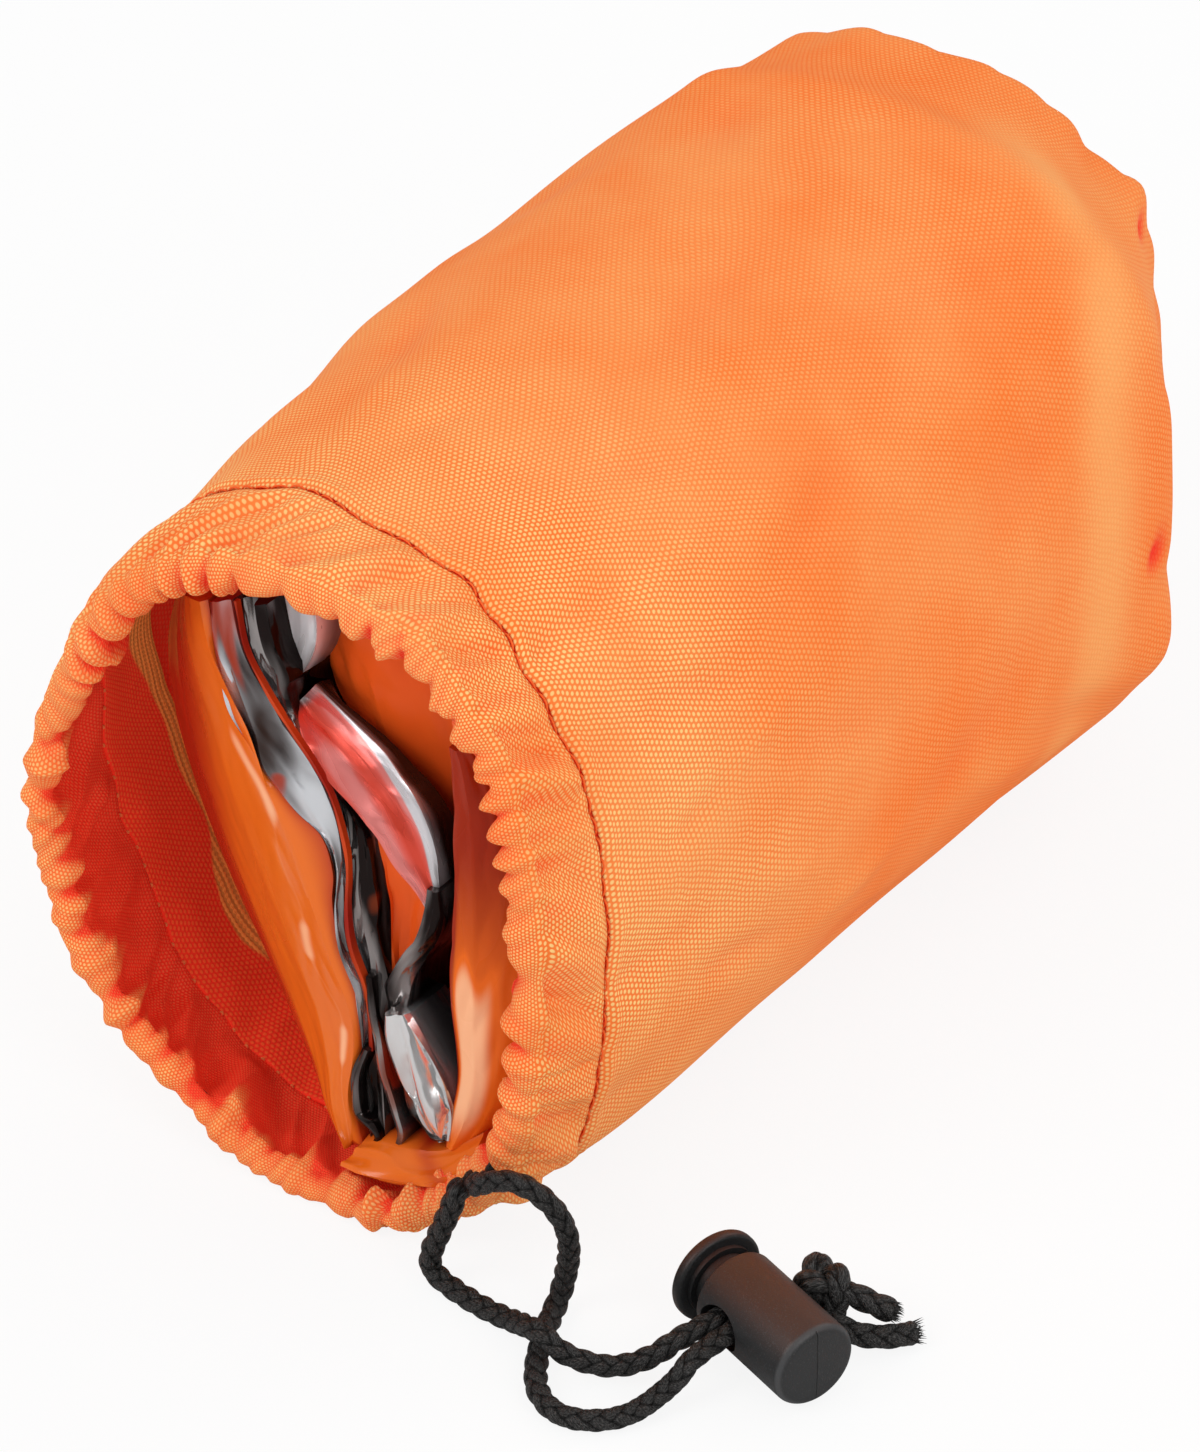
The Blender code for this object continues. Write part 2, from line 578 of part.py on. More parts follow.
def lock_barrel(group, cutters):
    """The lock's body: a blind tube with an oval cord hole across it."""
    outer = LOCK_DIAMETER / 2
    bore = outer - LOCK_WALL
    lip = LOCK_EDGE / 2
    shoulder = LOCK_EDGE * 0.3
    profile = [
        (0, LOCK_WALL), (bore, LOCK_WALL), (bore, LOCK_LENGTH - lip / 2), (bore + lip / 2, LOCK_LENGTH),
        (outer - lip, LOCK_LENGTH), (outer, LOCK_LENGTH - lip), (outer, LOCK_EDGE),
        (outer - shoulder, shoulder), (outer - LOCK_EDGE, 0), (0, 0),
    ]
    item = turned("lock_barrel", profile, group, material("lock_barrel", BLACK_PLASTIC, 0.55))
    item.matrix_world = lock_place()
    bm = bmesh.new()
    bmesh.ops.create_cone(bm, cap_ends=True, segments=20, radius1=1, radius2=1, depth=2 * LOCK_DIAMETER)
    bmesh.ops.scale(bm, vec=(HOLE_HEIGHT / 2, hole_half_length(), 1), verts=bm.verts)
    bmesh.ops.rotate(bm, cent=(0, 0, 0), matrix=Matrix.Rotation(math.radians(90), 3, "X"), verts=bm.verts)
    bmesh.ops.translate(bm, vec=(0, 0, HOLE_FROM_CAP), verts=bm.verts)
    cutter = add_object("cord_hole", mesh_from("cord_hole", bm), cutters)
    cutter.matrix_world = lock_place()
    cut(item, cutter, "cord_hole")
    return item


def slot_ends():
    """The plunger's slot along the lock at rest: it holds the cords at one end and frees them when pressed."""
    near = HOLE_FROM_CAP - hole_half_length()
    far = HOLE_FROM_CAP + hole_half_length() + PLUNGER_TRAVEL
    return near, far


def lock_plunger(group, cutters):
    """The sprung push button: a slotted shaft with a stepped flange for the thumb."""
    near, far = slot_ends()
    shaft = LOCK_DIAMETER / 2 - LOCK_WALL - GAP
    flange = FLANGE_DIAMETER / 2
    tip = near - PLUNGER_WEB
    under = LOCK_LENGTH + PLUNGER_TRAVEL + GAP + STEP_THICKNESS
    top = under + FLANGE_THICKNESS
    round_off = FLANGE_THICKNESS / 4
    profile = [
        (0, top), (flange - 2 * round_off, top), (flange - round_off / 2, top - round_off / 2),
        (flange, top - 2 * round_off), (flange, under + round_off), (flange - round_off, under),
        (STEP_DIAMETER / 2, under), (STEP_DIAMETER / 2, under - STEP_THICKNESS), (shaft, under - STEP_THICKNESS),
        (shaft, tip + round_off), (shaft - round_off, tip), (0, tip),
    ]
    item = turned("lock_plunger", profile, group, material("lock_plunger", BLACK_PLASTIC, 0.5))
    item.matrix_world = lock_place()
    bm = bmesh.new()
    bmesh.ops.create_cube(bm, size=1.0)
    bmesh.ops.scale(bm, vec=(SLOT_HEIGHT, LOCK_DIAMETER, far - near), verts=bm.verts)
    bmesh.ops.translate(bm, vec=(0, 0, (near + far) / 2), verts=bm.verts)
    cutter = add_object("plunger_slot", mesh_from("plunger_slot", bm), cutters)
    cutter.matrix_world = lock_place()
    cut(item, cutter, "slot")
    return item


def lock_spring(group):
    """The coil between the barrel's blind end and the plunger's tip."""
    near, far = slot_ends()
    start = LOCK_WALL + GAP + SPRING_WIRE / 2
    end = near - PLUNGER_WEB - GAP - SPRING_WIRE / 2
    radius = (SPRING_DIAMETER - SPRING_WIRE) / 2
    place = lock_place()
    points = []
    total = SPRING_TURNS * SPRING_STEPS
    for step in range(total + 1):
        turn = math.tau * step / SPRING_STEPS
        points.append(place @ Vector((radius * math.cos(turn), radius * math.sin(turn), mix(start, end, step / total))))
    return tube("lock_spring", points, SPRING_WIRE, group, material("lock_spring", SPRING_STEEL, 0.3, 1.0), sides=1)


def film_fold(name, route, group, finish, stagger=0):
    """A fold of film that stands along the sack: thick as listed along its edge, with a rounded nose."""
    front = FOLD_FRONT + stagger * FOLD_STAGGER
    back = FOLD_FRONT + FOLD_LENGTH
    rings = []
    for index, (x, z, thickness) in enumerate(route):
        before = route[max(index - 1, 0)]
        after = route[min(index + 1, len(route) - 1)]
        run = Vector((after[0] - before[0], 0, after[1] - before[1])).normalized()
        side = Vector((-run.z, 0, run.x))
        half = thickness / 2
        nose = min(half, FOLD_LENGTH / 3)
        outline = [(-half, back), (-half, front + nose), (-0.7 * half, front + 0.3 * nose), (0, front),
                   (0.7 * half, front + 0.3 * nose), (half, front + nose), (half, back)]
        rings.append([Vector((x, y, z)) + side * out for out, y in outline])
    bm = loft(rings, capped=True)
    return add_object(name, mesh_from(name, bm), group, finish)


def film_sheet(name, rows, group, finish):
    """The broad sheet that leans from its crease in the mouth back along the sack's left wall."""
    back = FOLD_FRONT + FOLD_LENGTH
    swell = Vector((0, -SHEET_SWELL, 0))
    rings = []
    for up, left, left_y, crease, right in rows:
        edge = Vector((left, left_y, up))
        crest = Vector((crease, FOLD_FRONT, up))
        rings.append([
            edge, edge + Vector((SHEET_EDGE / 3, SHEET_EDGE, 0)),
            Vector((max(SHEET_BACK, left + SHEET_EDGE / 2), back, up)), Vector((right, back, up)),
            Vector((right, FOLD_FRONT + SHEET_EDGE, up)), crest,
            edge.lerp(crest, 2 / 3) + swell, edge.lerp(crest, 1 / 3) + swell,
        ])
    bm = loft(rings, capped=True)
    return add_object(name, mesh_from(name, bm), group, finish)


def folded_bag(group):
    """The bivvy bag: one wide tube of aluminised film, folded up. Each visible fold is a node of its own."""
    orange = material("orange_film", ORANGE_FILM, 0.25)
    silver = material("silver_film", SILVER_FILM, 0.15, 1.0)
    film_sheet("bivvy_fold_left", LEFT_SHEET, group, orange)
    film_fold("bivvy_foil_left", FOIL_LEFT, group, silver, 1)
    film_fold("bivvy_foil_middle", FOIL_MIDDLE, group, silver, 2)
    film_fold("bivvy_foil_right", FOIL_RIGHT, group, silver)
    film_fold("bivvy_fold_right", RIGHT_FOLD, group, orange, 2)
    film_fold("bivvy_fold_bottom", BOTTOM_FOLD, group, orange, -5)
    core(group, orange)


def core(group, finish):
    """The bulk of the folded bag behind the visible folds. It is as wide as the mouth lets through."""
    half_width = MOUTH_WIDTH / 2 - LIP_THICKNESS / 2 - GATHER_DEPTH - CORE_CLEARANCE
    half_height = MOUTH_HEIGHT / 2 - LIP_THICKNESS / 2 - GATHER_DEPTH - CORE_CLEARANCE
    front = FOLD_FRONT + FOLD_LENGTH + GAP
    back = BASE_Y - CORE_END
    left = half_width - CORE_LEFT
    # y, how far the left side is drawn in, share of the full size, and share of the way to the base's middle
    rows = (
        (front, left, 0.94, 0.0), (front + FOLD_STAGGER, left, 0.99, 0.0), (front + CORE_BEVEL / 2, left / 2, 1.0, 0.1),
        (front + CORE_BEVEL, 0.0, 0.98, 0.3), (back - CORE_ROUNDING, 0.0, 0.88, 1.0),
        (back - CORE_ROUNDING / 3, 0.0, 0.85, 1.0), (back, 0.0, 0.76, 1.0),
    )
    rings = []
    for y, drawn_in, size, lean in rows:
        middle = (mix(MOUTH_MIDDLE[0], BASE_MIDDLE[0], lean) + drawn_in / 2, MOUTH_MIDDLE[1])
        rings.append(ring_around(y, middle, half_width * size - drawn_in / 2, half_height * size,
                                 MOUTH_SQUARENESS, MOUTH_BOW * (1 - lean)))
    bm = loft(rings, capped=True)
    return add_object("bivvy_core", mesh_from("bivvy_core", bm), group, finish)


def main():
    for item in list(bpy.data.objects):
        bpy.data.objects.remove(item)
    parts = collection("bivvy_bag")
    cutters = collection("cutters")
    side_panel(parts)
    base_panel(parts)
    base_seam(parts)
    side_seam(parts)
    drawcord_hem(parts, cutters)
    hem_stitching(parts)
    hem_selvedge(parts)
    drawcord(parts)
    lock_barrel(parts, cutters)
    lock_plunger(parts, cutters)
    lock_spring(parts)
    folded_bag(parts)


main()
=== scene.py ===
"""Emergency bivvy bag, folded into its drawstring stuff sack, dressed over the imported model.

Units are metres. +X is to the right of the mouth, +Y runs from the mouth to the base, +Z is up.
"""
import math

import bmesh
import bpy
import numpy as np
from bpy.props import FloatProperty, FloatVectorProperty, IntProperty, PointerProperty
from mathutils import Matrix, Vector, noise


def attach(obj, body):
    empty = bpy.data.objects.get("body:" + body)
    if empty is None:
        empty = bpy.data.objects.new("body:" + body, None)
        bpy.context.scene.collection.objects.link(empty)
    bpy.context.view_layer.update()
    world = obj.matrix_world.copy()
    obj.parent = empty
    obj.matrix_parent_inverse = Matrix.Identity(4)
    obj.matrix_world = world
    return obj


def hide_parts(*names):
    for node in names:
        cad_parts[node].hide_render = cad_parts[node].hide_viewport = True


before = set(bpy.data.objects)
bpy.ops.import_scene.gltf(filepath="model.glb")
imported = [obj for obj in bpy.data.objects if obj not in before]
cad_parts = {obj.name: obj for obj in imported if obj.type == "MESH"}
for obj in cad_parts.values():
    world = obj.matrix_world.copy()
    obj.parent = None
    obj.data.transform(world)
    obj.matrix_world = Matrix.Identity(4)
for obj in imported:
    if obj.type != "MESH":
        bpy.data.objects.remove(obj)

bl_info = {
    "name": "Bivvy bag",
    "version": (1, 0, 0),
    "blender": (4, 5, 0),
    "location": "3D View > Sidebar > Bivvy bag",
    "description": "Builds a folded bivvy bag in its drawstring stuff sack",
    "category": "Add Mesh",
}

MM = 0.001

# Cloth and fit
FABRIC = 0.0006
GAP = 0.0003
PAINTED_GLOW = 0.11                 # painted glow: emission of the cloth's inside colour, standing in for light that the thin cloth lets into the sack
GIRTH = 0.333                        # around the sack, on the cloth
WARP = 1100.0                        # raised threads in a metre around the sack
WEFT = 1320.0                        # rows of them in a metre along it
UNEVEN_WEAVE = 0.4
FOLD_ANGLE = 34                      # degrees from which a fold of film has a sharp edge
CLOTH_SPECULAR = 0.04
SHEEN = (1.0, 0.50, 0.27)            # painted sheen colour on a film fold's front
NEARLY_BLACK = (0.03, 0.006, 0.004)  # painted shade, deep between the film's folds

# Camera
CAMERA_AIM = (-0.00806355, 0.0, 0.026333)
CAMERA_WAY = (0.46854, -0.67192, 0.57358)    # from the aim towards the camera
CAMERA_DISTANCE = 0.9
CAMERA_LENS = 152.98

# Stuff sack, as in the part's source
BASE_Y = 0.087
STITCH_Y = -0.069
TAPER_Y = 0.061
CORD_Y = -0.083
SHOULDER = (0.0457, 0.0506)          # half width and half height at the stitch line
BELLY = (0.0523, 0.0532)
BASE = (0.0410, 0.04775)
MOUTH = (0.0402, 0.0487)
SHOULDER_BOW = 0.004
MOUTH_BOW = 0.006
BOW_END = 0.6
FLATTENED = 0.0011
SEAM_TURN = -42.0
MOUTH_MIDDLE = (-0.0018, 0.0516)
BASE_MIDDLE = (-0.005, 0.05175)
LIP_THICKNESS = 0.0058
HEM_EDGE = 0.0018
SWELLING = (
    (0, 0), (0.016, 0.01), (0.12, 0.14), (0.26, 0.40), (0.40, 0.62), (0.56, 0.74), (0.75, 0.88), (0.93, 1),
    (1, 1),
)
TAPER = ((0, 0), (0.19, 0.20), (0.38, 0.40), (0.58, 0.60), (0.78, 0.80), (0.94, 0.95), (1, 1))
NARROWING = ((0, 0), (0.10, 0.04), (0.38, 0.24), (0.70, 0.62), (0.92, 0.93), (1.0, 0.97))
THICKENING = ((0, 0), (0.10, 0), (0.38, 0.15), (0.70, 0.45), (0.92, 0.92), (1.0, 1))
SQUARENESS = (2.35, 2.55)            # of the mouth and of the base; 2 is an ellipse
# Rows of the side's mesh behind the stitch line: runs with their ends and steps, then the last ones
SIDE_ROWS = ((0, 0.0045, 0.0003), (0.0045, 0.05, 0.0010), (0.05, 0.153, 0.0014))
SIDE_END_ROWS = (0.1535, 0.1543, 0.1550)
BASE_ROUND = 0.0030                  # radius of the cloth's turn into the base seam
BASE_RINGS = 26
BASE_PUFF = 0.0013                   # how far the base stands out in its middle
SEAM_NARROWING = 0.0024              # of the side where it meets the base

# Hem. Its section is a row of shares of the way from the stitch line to the cord.
HEM_OUTSIDE = (
    0, 0.02, 0.04, 0.06, 0.085, 0.115, 0.15, 0.19, 0.24, 0.30, 0.36, 0.42, 0.48, 0.54, 0.60, 0.66, 0.71,
    0.76, 0.80, 0.84, 0.88, 0.92, 0.96,
)
HEM_COLUMNS = 960
LIP_RADIUS = 0.0026
LIP_WEAVE = 1.5                      # how much denser the gathered cloth's weave is
CREASE = 0.0004                      # depth of the crease in which the stitches lie
GATHERS = 47
LIP_ROOM = 0.00162                   # of the drawcord in its channel
BOBBIN_THREAD = (0.90, 0.24, 0.08)
# One stitch: where it starts and ends in its length, how far it stands out, and its thread's radius
OUTER_STITCH = (0.05, 0.90, 0.00042, 0.00014)
INNER_STITCH = (0.44, 0.58, -0.0002, 0.00018)

# Bulk of the folded bag
BULK_HALF = (0.0344, 0.0428)         # half width and half height
BULK_FRONT = -0.0637
BULK_BACK = 0.081

# Drawcord
CORD = 0.003
KNOT_CORD = 0.0035                   # the cord's thickness in its knot, where two legs lie together
TAIL_CORD = 0.0033                   # and at its cut ends
HIDDEN_CORD = 0.7                    # share of the thickness, in the hem
LEFT_EXIT = (0.0304, -0.0872, 0.0164)
RIGHT_EXIT = (0.0337, -0.0872, 0.0190)
LEFT_LEG = (
    (0.0298, -0.0893, 0.0138), (0.0284, -0.0899, 0.0095), (0.0270, -0.0902, 0.0052),
    (0.0271, -0.0903, 0.0025), (0.0305, -0.0910, 0.0016), (0.0366, -0.0920, 0.0016),
    (0.0418, -0.0927, 0.0023), (0.0455, -0.0943, 0.0042), (0.0489, -0.0955, 0.0053),
    (0.0532, -0.0955, 0.0037), (0.0583, -0.0929, 0.0024), (0.0628, -0.0901, 0.0042),
)
RIGHT_LEG = (
    (0.0352, -0.0893, 0.0204), (0.0382, -0.0892, 0.0222), (0.0412, -0.0887, 0.0226),
    (0.0446, -0.0877, 0.0206), (0.0465, -0.0866, 0.0168), (0.0465, -0.0855, 0.0118),
    (0.0452, -0.0845, 0.0062), (0.0446, -0.0852, 0.0022), (0.0454, -0.0880, 0.0016),
    (0.0472, -0.0925, 0.0016), (0.0496, -0.0975, 0.0016), (0.0530, -0.1018, 0.0016),
    (0.0576, -0.1038, 0.0016), (0.0622, -0.1023, 0.0016), (0.0655, -0.0984, 0.0017),
    (0.0674, -0.0934, 0.0030), (0.0688, -0.0905, 0.0054),
)
LEFT_TAIL = ((0.0789, -0.0659, 0.0062), (0.0817, -0.0651, 0.0054), (0.0847, -0.0642, 0.0046))
RIGHT_TAIL = (
    (0.0793, -0.0696, 0.0034), (0.0825, -0.0686, 0.0026), (0.0853, -0.0663, 0.0021),
    (0.0877, -0.0635, 0.002),
)
EXIT_TURN = -40.0
EXIT_SPREAD = 14.0
EXIT_LEAD = 0.0012
STRAIGHT_LEAD = 0.0040
KNOT = 0.0082
KNOT_HEIGHT = 0.0092
STRANDS = 4                          # yarns of the braid that wind each way
PLAIT_PITCH = 0.0115                 # cord length in which a yarn goes once around
PLAIT_RELIEF = 0.00036
FILAMENTS = 60                       # loose ones at a cut end

# Cord lock
CAP_CROWN = 0.0012                   # the lock's crowned cap, beyond the plain barrel
LOCK_DIAMETER = 0.0126
LOCK_LENGTH = 0.0175
LOCK_WALL = 0.0016
FLANGE_DIAMETER = 0.0138
FLANGE_THICKNESS = 0.0018
STEP_DIAMETER = 0.0106
STEP_THICKNESS = 0.0007
PLUNGER_TRAVEL = 0.0022
HOLE_FROM_CAP = 0.0124
HOLE_EASE = 0.0005                   # of the plait's relief in the hole
HOLE_HEIGHT = 0.0050
HOLE_HALF_LENGTH = 0.00345
SLOT_HEIGHT = 0.0044
PLUNGER_WEB = 0.0015
LOCK_CAP = (0.0826, -0.0813)
LOCK_HEADING = 159.5

# How far the stitch line lies behind STITCH_Y, and where the selvedge's pale strip starts and ends inside:
# degrees around, millimetres
STITCH_LINE = (
    (-90, -1), (-60, -2), (-26, -3.6), (-4, -4), (12, -3.3), (28, -3), (45, -3.7), (64, -0.6), (84, 3),
    (95, 4.6), (106, 6.8), (128, 9), (150, 6), (172, 2), (188, 3), (208, 4), (224, 2), (242, 0.5), (256, 0),
)
STRIP_START = (
    (-90, -52), (-40, -50), (0, -52), (60, -51), (120, -54), (160, -61), (171.5, -60), (176, -57.7),
    (181, -54.6), (186, -52.5), (196, -51.6), (204, -49.6), (209, -50), (214, -52.6), (222, -55.4),
    (228, -56), (234, -53.6), (244, -51),
)
STRIP_END = (
    (-90, -47), (-40, -46), (0, -47.5), (60, -46), (120, -49), (160, -58), (174, -55.3), (179, -53.4),
    (185, -50.5), (190, -49.4), (197, -49.2), (204, -47.6), (213, -47.8), (224, -49), (234, -48),
    (244, -47),
)
# The two stitched tucks: degrees around, millimetres along
BASE_DIMPLES = ((40, 79), (-2, 56.5))
# Where a pale sheen is painted on the cloth: degrees around, millimetres along
PAINTED_SHEEN_BAND = ((-60, 41), (-30, 41), (-2, 42), (22, 43.5), (48, 58), (70, 66), (100, 70))
# Where the lip stands out and forward of its plain oval: degrees around, millimetres
LIP_OUT = (
    (-90, 0), (0, 0), (100, 0), (118, -0.3), (130, -1.4), (145, -2.8), (158, -3.2), (168, -1.4), (178, 0.8),
    (190, 2.2), (204, 1.6), (217, 0.3), (228, 0), (240, 0.7), (252, 1.3), (264, 0.8), (272, 0),
)
LIP_FORWARD = (
    (-90, 1.8), (-76, 1.9), (-62, 1.0), (-54, 0), (0, 0), (120, 0), (220, 0), (245, 0.8), (262, 1.5),
)
# Where the whole sack is fuller or leaner, in the same columns as the dents
FULLNESS = (
    (141, -8, 22, 24, 0, 1.0), (141, -19, 18, 24, 0, 1.2), (141, -46, 26, 24, 0, 1.3),
    (141, 62, 26, 24, 0, -1.5), (-39, -54, 40, 26, 0, 1.3), (-36, 80, 32, 24, 0, 2.3),
    (-12, 82, 40, 16, 0, -1.2), (6, 84, 44, 20, 0, -2.2), (-19, 63, 26, 15, 0, 2.3),
    (-7, 62, 14, 6, 0, -0.7), (8, 62, 30, 22, 0, -0.5), (22, 84, 40, 14, 0, -2.0), (43, 86, 26, 9, 0, 2.2),
    (57, 86, 30, 9, 0, -1.4), (84, 86, 36, 18, 0, 1.0), (104, 86, 36, 18, 0, 1.8),
    (122, 84, 32, 16, 0, 1.8),
)
# Soft dents and creases of the cloth, outside: degrees around, along, length, width, slant in degrees, depth.
# Lengths are millimetres; the slant is measured from the sack's length.
DENTS = (
    (118, -26, 26, 7, 24, 1.3), (96, -46, 14, 5, -18, 0.9), (84, 4, 32, 9, 12, 1.0),
    (70, -34, 20, 6, -30, 0.8), (128, 22, 22, 10, -20, 1.2), (104, 44, 20, 9, 30, 1.1),
    (62, 30, 34, 12, -14, 0.8), (44, -12, 26, 9, 22, 0.9), (30, -44, 15, 5, -24, 1.1),
    (12, -50, 13, 4.5, 18, 1.0), (8, -20, 24, 9, -16, 1.0), (24, 26, 30, 11, 18, 0.9),
    (-8, 10, 26, 9, 24, 1.1), (-14, -40, 18, 6, -14, 1.2), (-22, 42, 20, 8, -26, 1.2),
    (50, 58, 16, 8, 10, 0.8), (84, 66, 12, 7, 40, 0.9), (20, 64, 14, 8, -20, 0.8),
    (150, -8, 24, 9, 16, 1.2), (168, 30, 26, 10, -18, 1.2), (190, -30, 22, 8, 14, 1.3),
    (204, 18, 28, 10, -12, 1.0), (176, 56, 16, 8, 20, 1.0), (226, 48, 18, 8, 16, 1.0),
    (-34, -8, 22, 8, -14, 1.0), (-40, 30, 24, 9, 18, 0.9),
)
# Ridges that stand out between them, in the same terms
RIDGES = (
    (112, -40, 18, 5, 14, 0.9), (90, -30, 20, 6, 20, 0.8), (74, -8, 26, 8, -10, 0.7),
    (52, -40, 16, 5, 12, 0.8), (18, -36, 16, 5, 26, 0.9), (-4, -34, 18, 6, -20, 0.9),
    (120, 60, 14, 7, -12, 0.8), (66, 56, 16, 8, -18, 0.7), (-16, -14, 20, 7, 18, 1.0),
    (-20, 22, 18, 7, -16, 1.0), (140, 6, 20, 8, 14, 0.9), (196, 40, 22, 8, 12, 0.9),
)


# Numbers that vary smoothly


def mix(a, b, share):
    return a + (b - a) * share


def smooth_step(low, high, value):
    share = np.clip((value - low) / (high - low), 0.0, 1.0)
    return share * share * (3 - 2 * share)


def along_table(table, share):
    """A value from a table of (share, value) rows."""
    rows = np.array(table, float)
    return np.interp(share, rows[:, 0], rows[:, 1])


def resampled(points, count):
    """Points at even spacing along a smooth curve through the given ones."""
    points = np.array(points, float)
    ends = np.vstack([2 * points[0] - points[1], points, 2 * points[-1] - points[-2]])
    fine = []
    steps = np.linspace(0, 1, 16, endpoint=False)[:, None]
    for before, start, end, after in zip(ends, ends[1:], ends[2:], ends[3:]):
        fine.append(0.5 * (2 * start + (end - before) * steps
                           + (2 * before - 5 * start + 4 * end - after) * steps ** 2
                           + (3 * start - before - 3 * end + after) * steps ** 3))
    fine = np.vstack(fine + [points[-1:]])
    travelled = np.concatenate([[0], np.cumsum(np.linalg.norm(np.diff(fine, axis=0), axis=1))])
    even = np.linspace(0, travelled[-1], count)
    return np.stack([np.interp(even, travelled, fine[:, axis]) for axis in range(3)], 1)


def route_length(points):
    return float(np.linalg.norm(np.diff(np.array(points, float), axis=0), axis=1).sum())


def wander(turn, seed, waves=5, slowest=1):
    """A smooth irregular value around the sack, about -1 to 1, that closes on itself."""
    total = np.zeros_like(turn)
    for step in range(waves):
        frequency = slowest + step * (1 + seed % 2) + (seed * (step + 2)) % 3
        total += np.sin(frequency * turn + seed * 1.7 + step * 2.3) / (1 + 0.35 * step)
    return total / 2.1


def lobes(turn, count, seed, uneven=1.0, angular=0.0):
    """Puckers around the sack, of uneven width: 1 on a rounded or angular crest, 0 in a sharp valley."""
    phase = count * turn + uneven * (1.5 * wander(turn, seed, 4, 3) + 0.9 * wander(turn, seed + 3, 4, 8))
    run = np.mod(phase / math.tau, 1)
    top = 0.5 + 0.2 * wander(turn, seed + 1, 3, 2)
    rise = np.where(run < top, run / top, (1 - run) / (1 - top))
    return mix(np.sin(rise * math.pi / 2), rise, angular)


def lip_shift(turn):
    """How far the lip of the mouth stands out of its plain oval, and how far forward, around the sack."""
    away = np.abs(np.mod(turn - math.radians(EXIT_TURN) + math.pi, math.tau) - math.pi)
    free = smooth_step(math.radians(EXIT_SPREAD + 2), math.radians(EXIT_SPREAD + 24), away)
    out = around_table(turn, LIP_OUT) + 0.0006 * wander(turn, 12, 5, 5)
    forward = around_table(turn, LIP_FORWARD) + 0.0007 * wander(turn, 13, 5, 9)
    return out * free, forward * free


def around_table(turn, table):
    """A smooth closed line through (degrees, millimetres) rows, in metres."""
    rows = np.array(table, float)
    fine = np.arange(-200, 561)
    angles = np.concatenate([rows[:, 0] - 360, rows[:, 0], rows[:, 0] + 360])
    line = np.interp(fine, angles, np.tile(rows[:, 1], 3))
    weight = np.hanning(9)
    line = np.convolve(line, weight / weight.sum(), "same")
    return np.interp(np.mod(np.degrees(turn), 360), fine, line) * MM


def noise_at(x, y, z):
    """Smooth noise of -1 to 1 at each of the places with these coordinates."""
    x, y, z = np.broadcast_arrays(x, y, z)
    return np.array([noise.noise(Vector(place)) for place in zip(x.flat, y.flat, z.flat)]).reshape(x.shape)


def surface_noise(points, scale, seed):
    return noise_at(*np.moveaxis(points * scale + seed * 7.31, -1, 0))


# Mesh helpers


def add_piece(name, mesh, material, body, slot, *stands_for):
    """Put a mesh in the scene as a piece that rides on a body and stands for CAD nodes."""
    piece = bpy.data.objects.new(name, mesh)
    bpy.context.scene.collection.objects.link(piece)
    for finish in material if isinstance(material, (list, tuple)) else [material]:
        mesh.materials.append(finish)
    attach(piece, body)
    if stands_for:
        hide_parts(*stands_for)
    return piece


def skin(name, grid, uv, hollow, along=False, caps=False, flip=False):
    """A mesh over a grid of points, rows along and columns around. along closes it lengthwise too."""
    rows, columns = grid.shape[:2]
    index = np.arange(rows * columns).reshape(rows, columns)
    near = np.stack([index, np.roll(index, -1, 1)])
    far = np.roll(near, -1, 1)
    if not along:
        near, far = near[:, :-1], far[:, :-1]
    quads = np.stack([near[0], far[0], far[1], near[1]], -1).reshape(-1, 4)
    if flip:
        quads = quads[:, ::-1]
    faces = quads.tolist()
    if caps:
        ends = [index[0].tolist(), index[-1, ::-1].tolist()]
        faces += [end[::-1] for end in ends] if flip else ends
    mesh = bpy.data.meshes.new(name)
    mesh.from_pydata(grid.reshape(-1, 3).tolist(), [], faces)
    mesh.update()
    depth = mesh.attributes.new("hollow", "FLOAT", "POINT")
    depth.data.foreach_set("value", hollow.reshape(-1).astype(np.float32))
    row, column = np.divmod(np.arange(len(quads)), columns)
    places = [(row, column), (row + 1, column), (row + 1, column + 1), (row, column + 1)]
    corners = np.zeros((len(mesh.loops), 2), np.float32)
    for corner, (r, c) in enumerate(places[::-1] if flip else places):
        corners[corner:len(quads) * 4:4] = uv[r, c]
    mesh.uv_layers.new(name="cloth").data.foreach_set("uv", corners.reshape(-1))
    mesh.polygons.foreach_set("use_smooth", np.ones(len(mesh.polygons), bool))
    mesh.update()
    return mesh


def tidy_normals(mesh, split_ends=False):
    """Turn a closed mesh's faces outward, and cut its end faces into triangles if that is asked."""
    bm = bmesh.new()
    bm.from_mesh(mesh)
    if split_ends:
        bmesh.ops.triangulate(bm, faces=[face for face in bm.faces if len(face.verts) > 4])
    bmesh.ops.recalc_face_normals(bm, faces=bm.faces)
    bm.to_mesh(mesh)
    bm.free()


def outward(grid):
    """Unit directions away from the middle of each row, across the sack."""
    way = grid - grid.mean(1, keepdims=True)
    way[..., 1] = 0
    return way / np.linalg.norm(way, axis=-1, keepdims=True)


def grid_normals(grid):
    """Outward normals of a fold's grid, whose rows run along it."""
    normal = np.cross(np.gradient(grid, axis=1), np.gradient(grid, axis=0))
    return normal / np.maximum(np.linalg.norm(normal, axis=-1, keepdims=True), 1e-12)


def deselect_all():
    bpy.ops.object.select_all(action="DESELECT")


def select_only(piece):
    deselect_all()
    bpy.context.view_layer.objects.active = piece
    piece.select_set(True)


def apply_modifiers(piece):
    select_only(piece)
    for modifier in list(piece.modifiers):
        bpy.ops.object.modifier_apply(modifier=modifier.name)
    piece.select_set(False)


def thicken(piece):
    """Give a cloth its thickness inwards, with its second finish inside."""
    wall = piece.modifiers.new("cloth", "SOLIDIFY")
    wall.thickness = FABRIC
    wall.offset = -1
    wall.material_offset = 1
    apply_modifiers(piece)


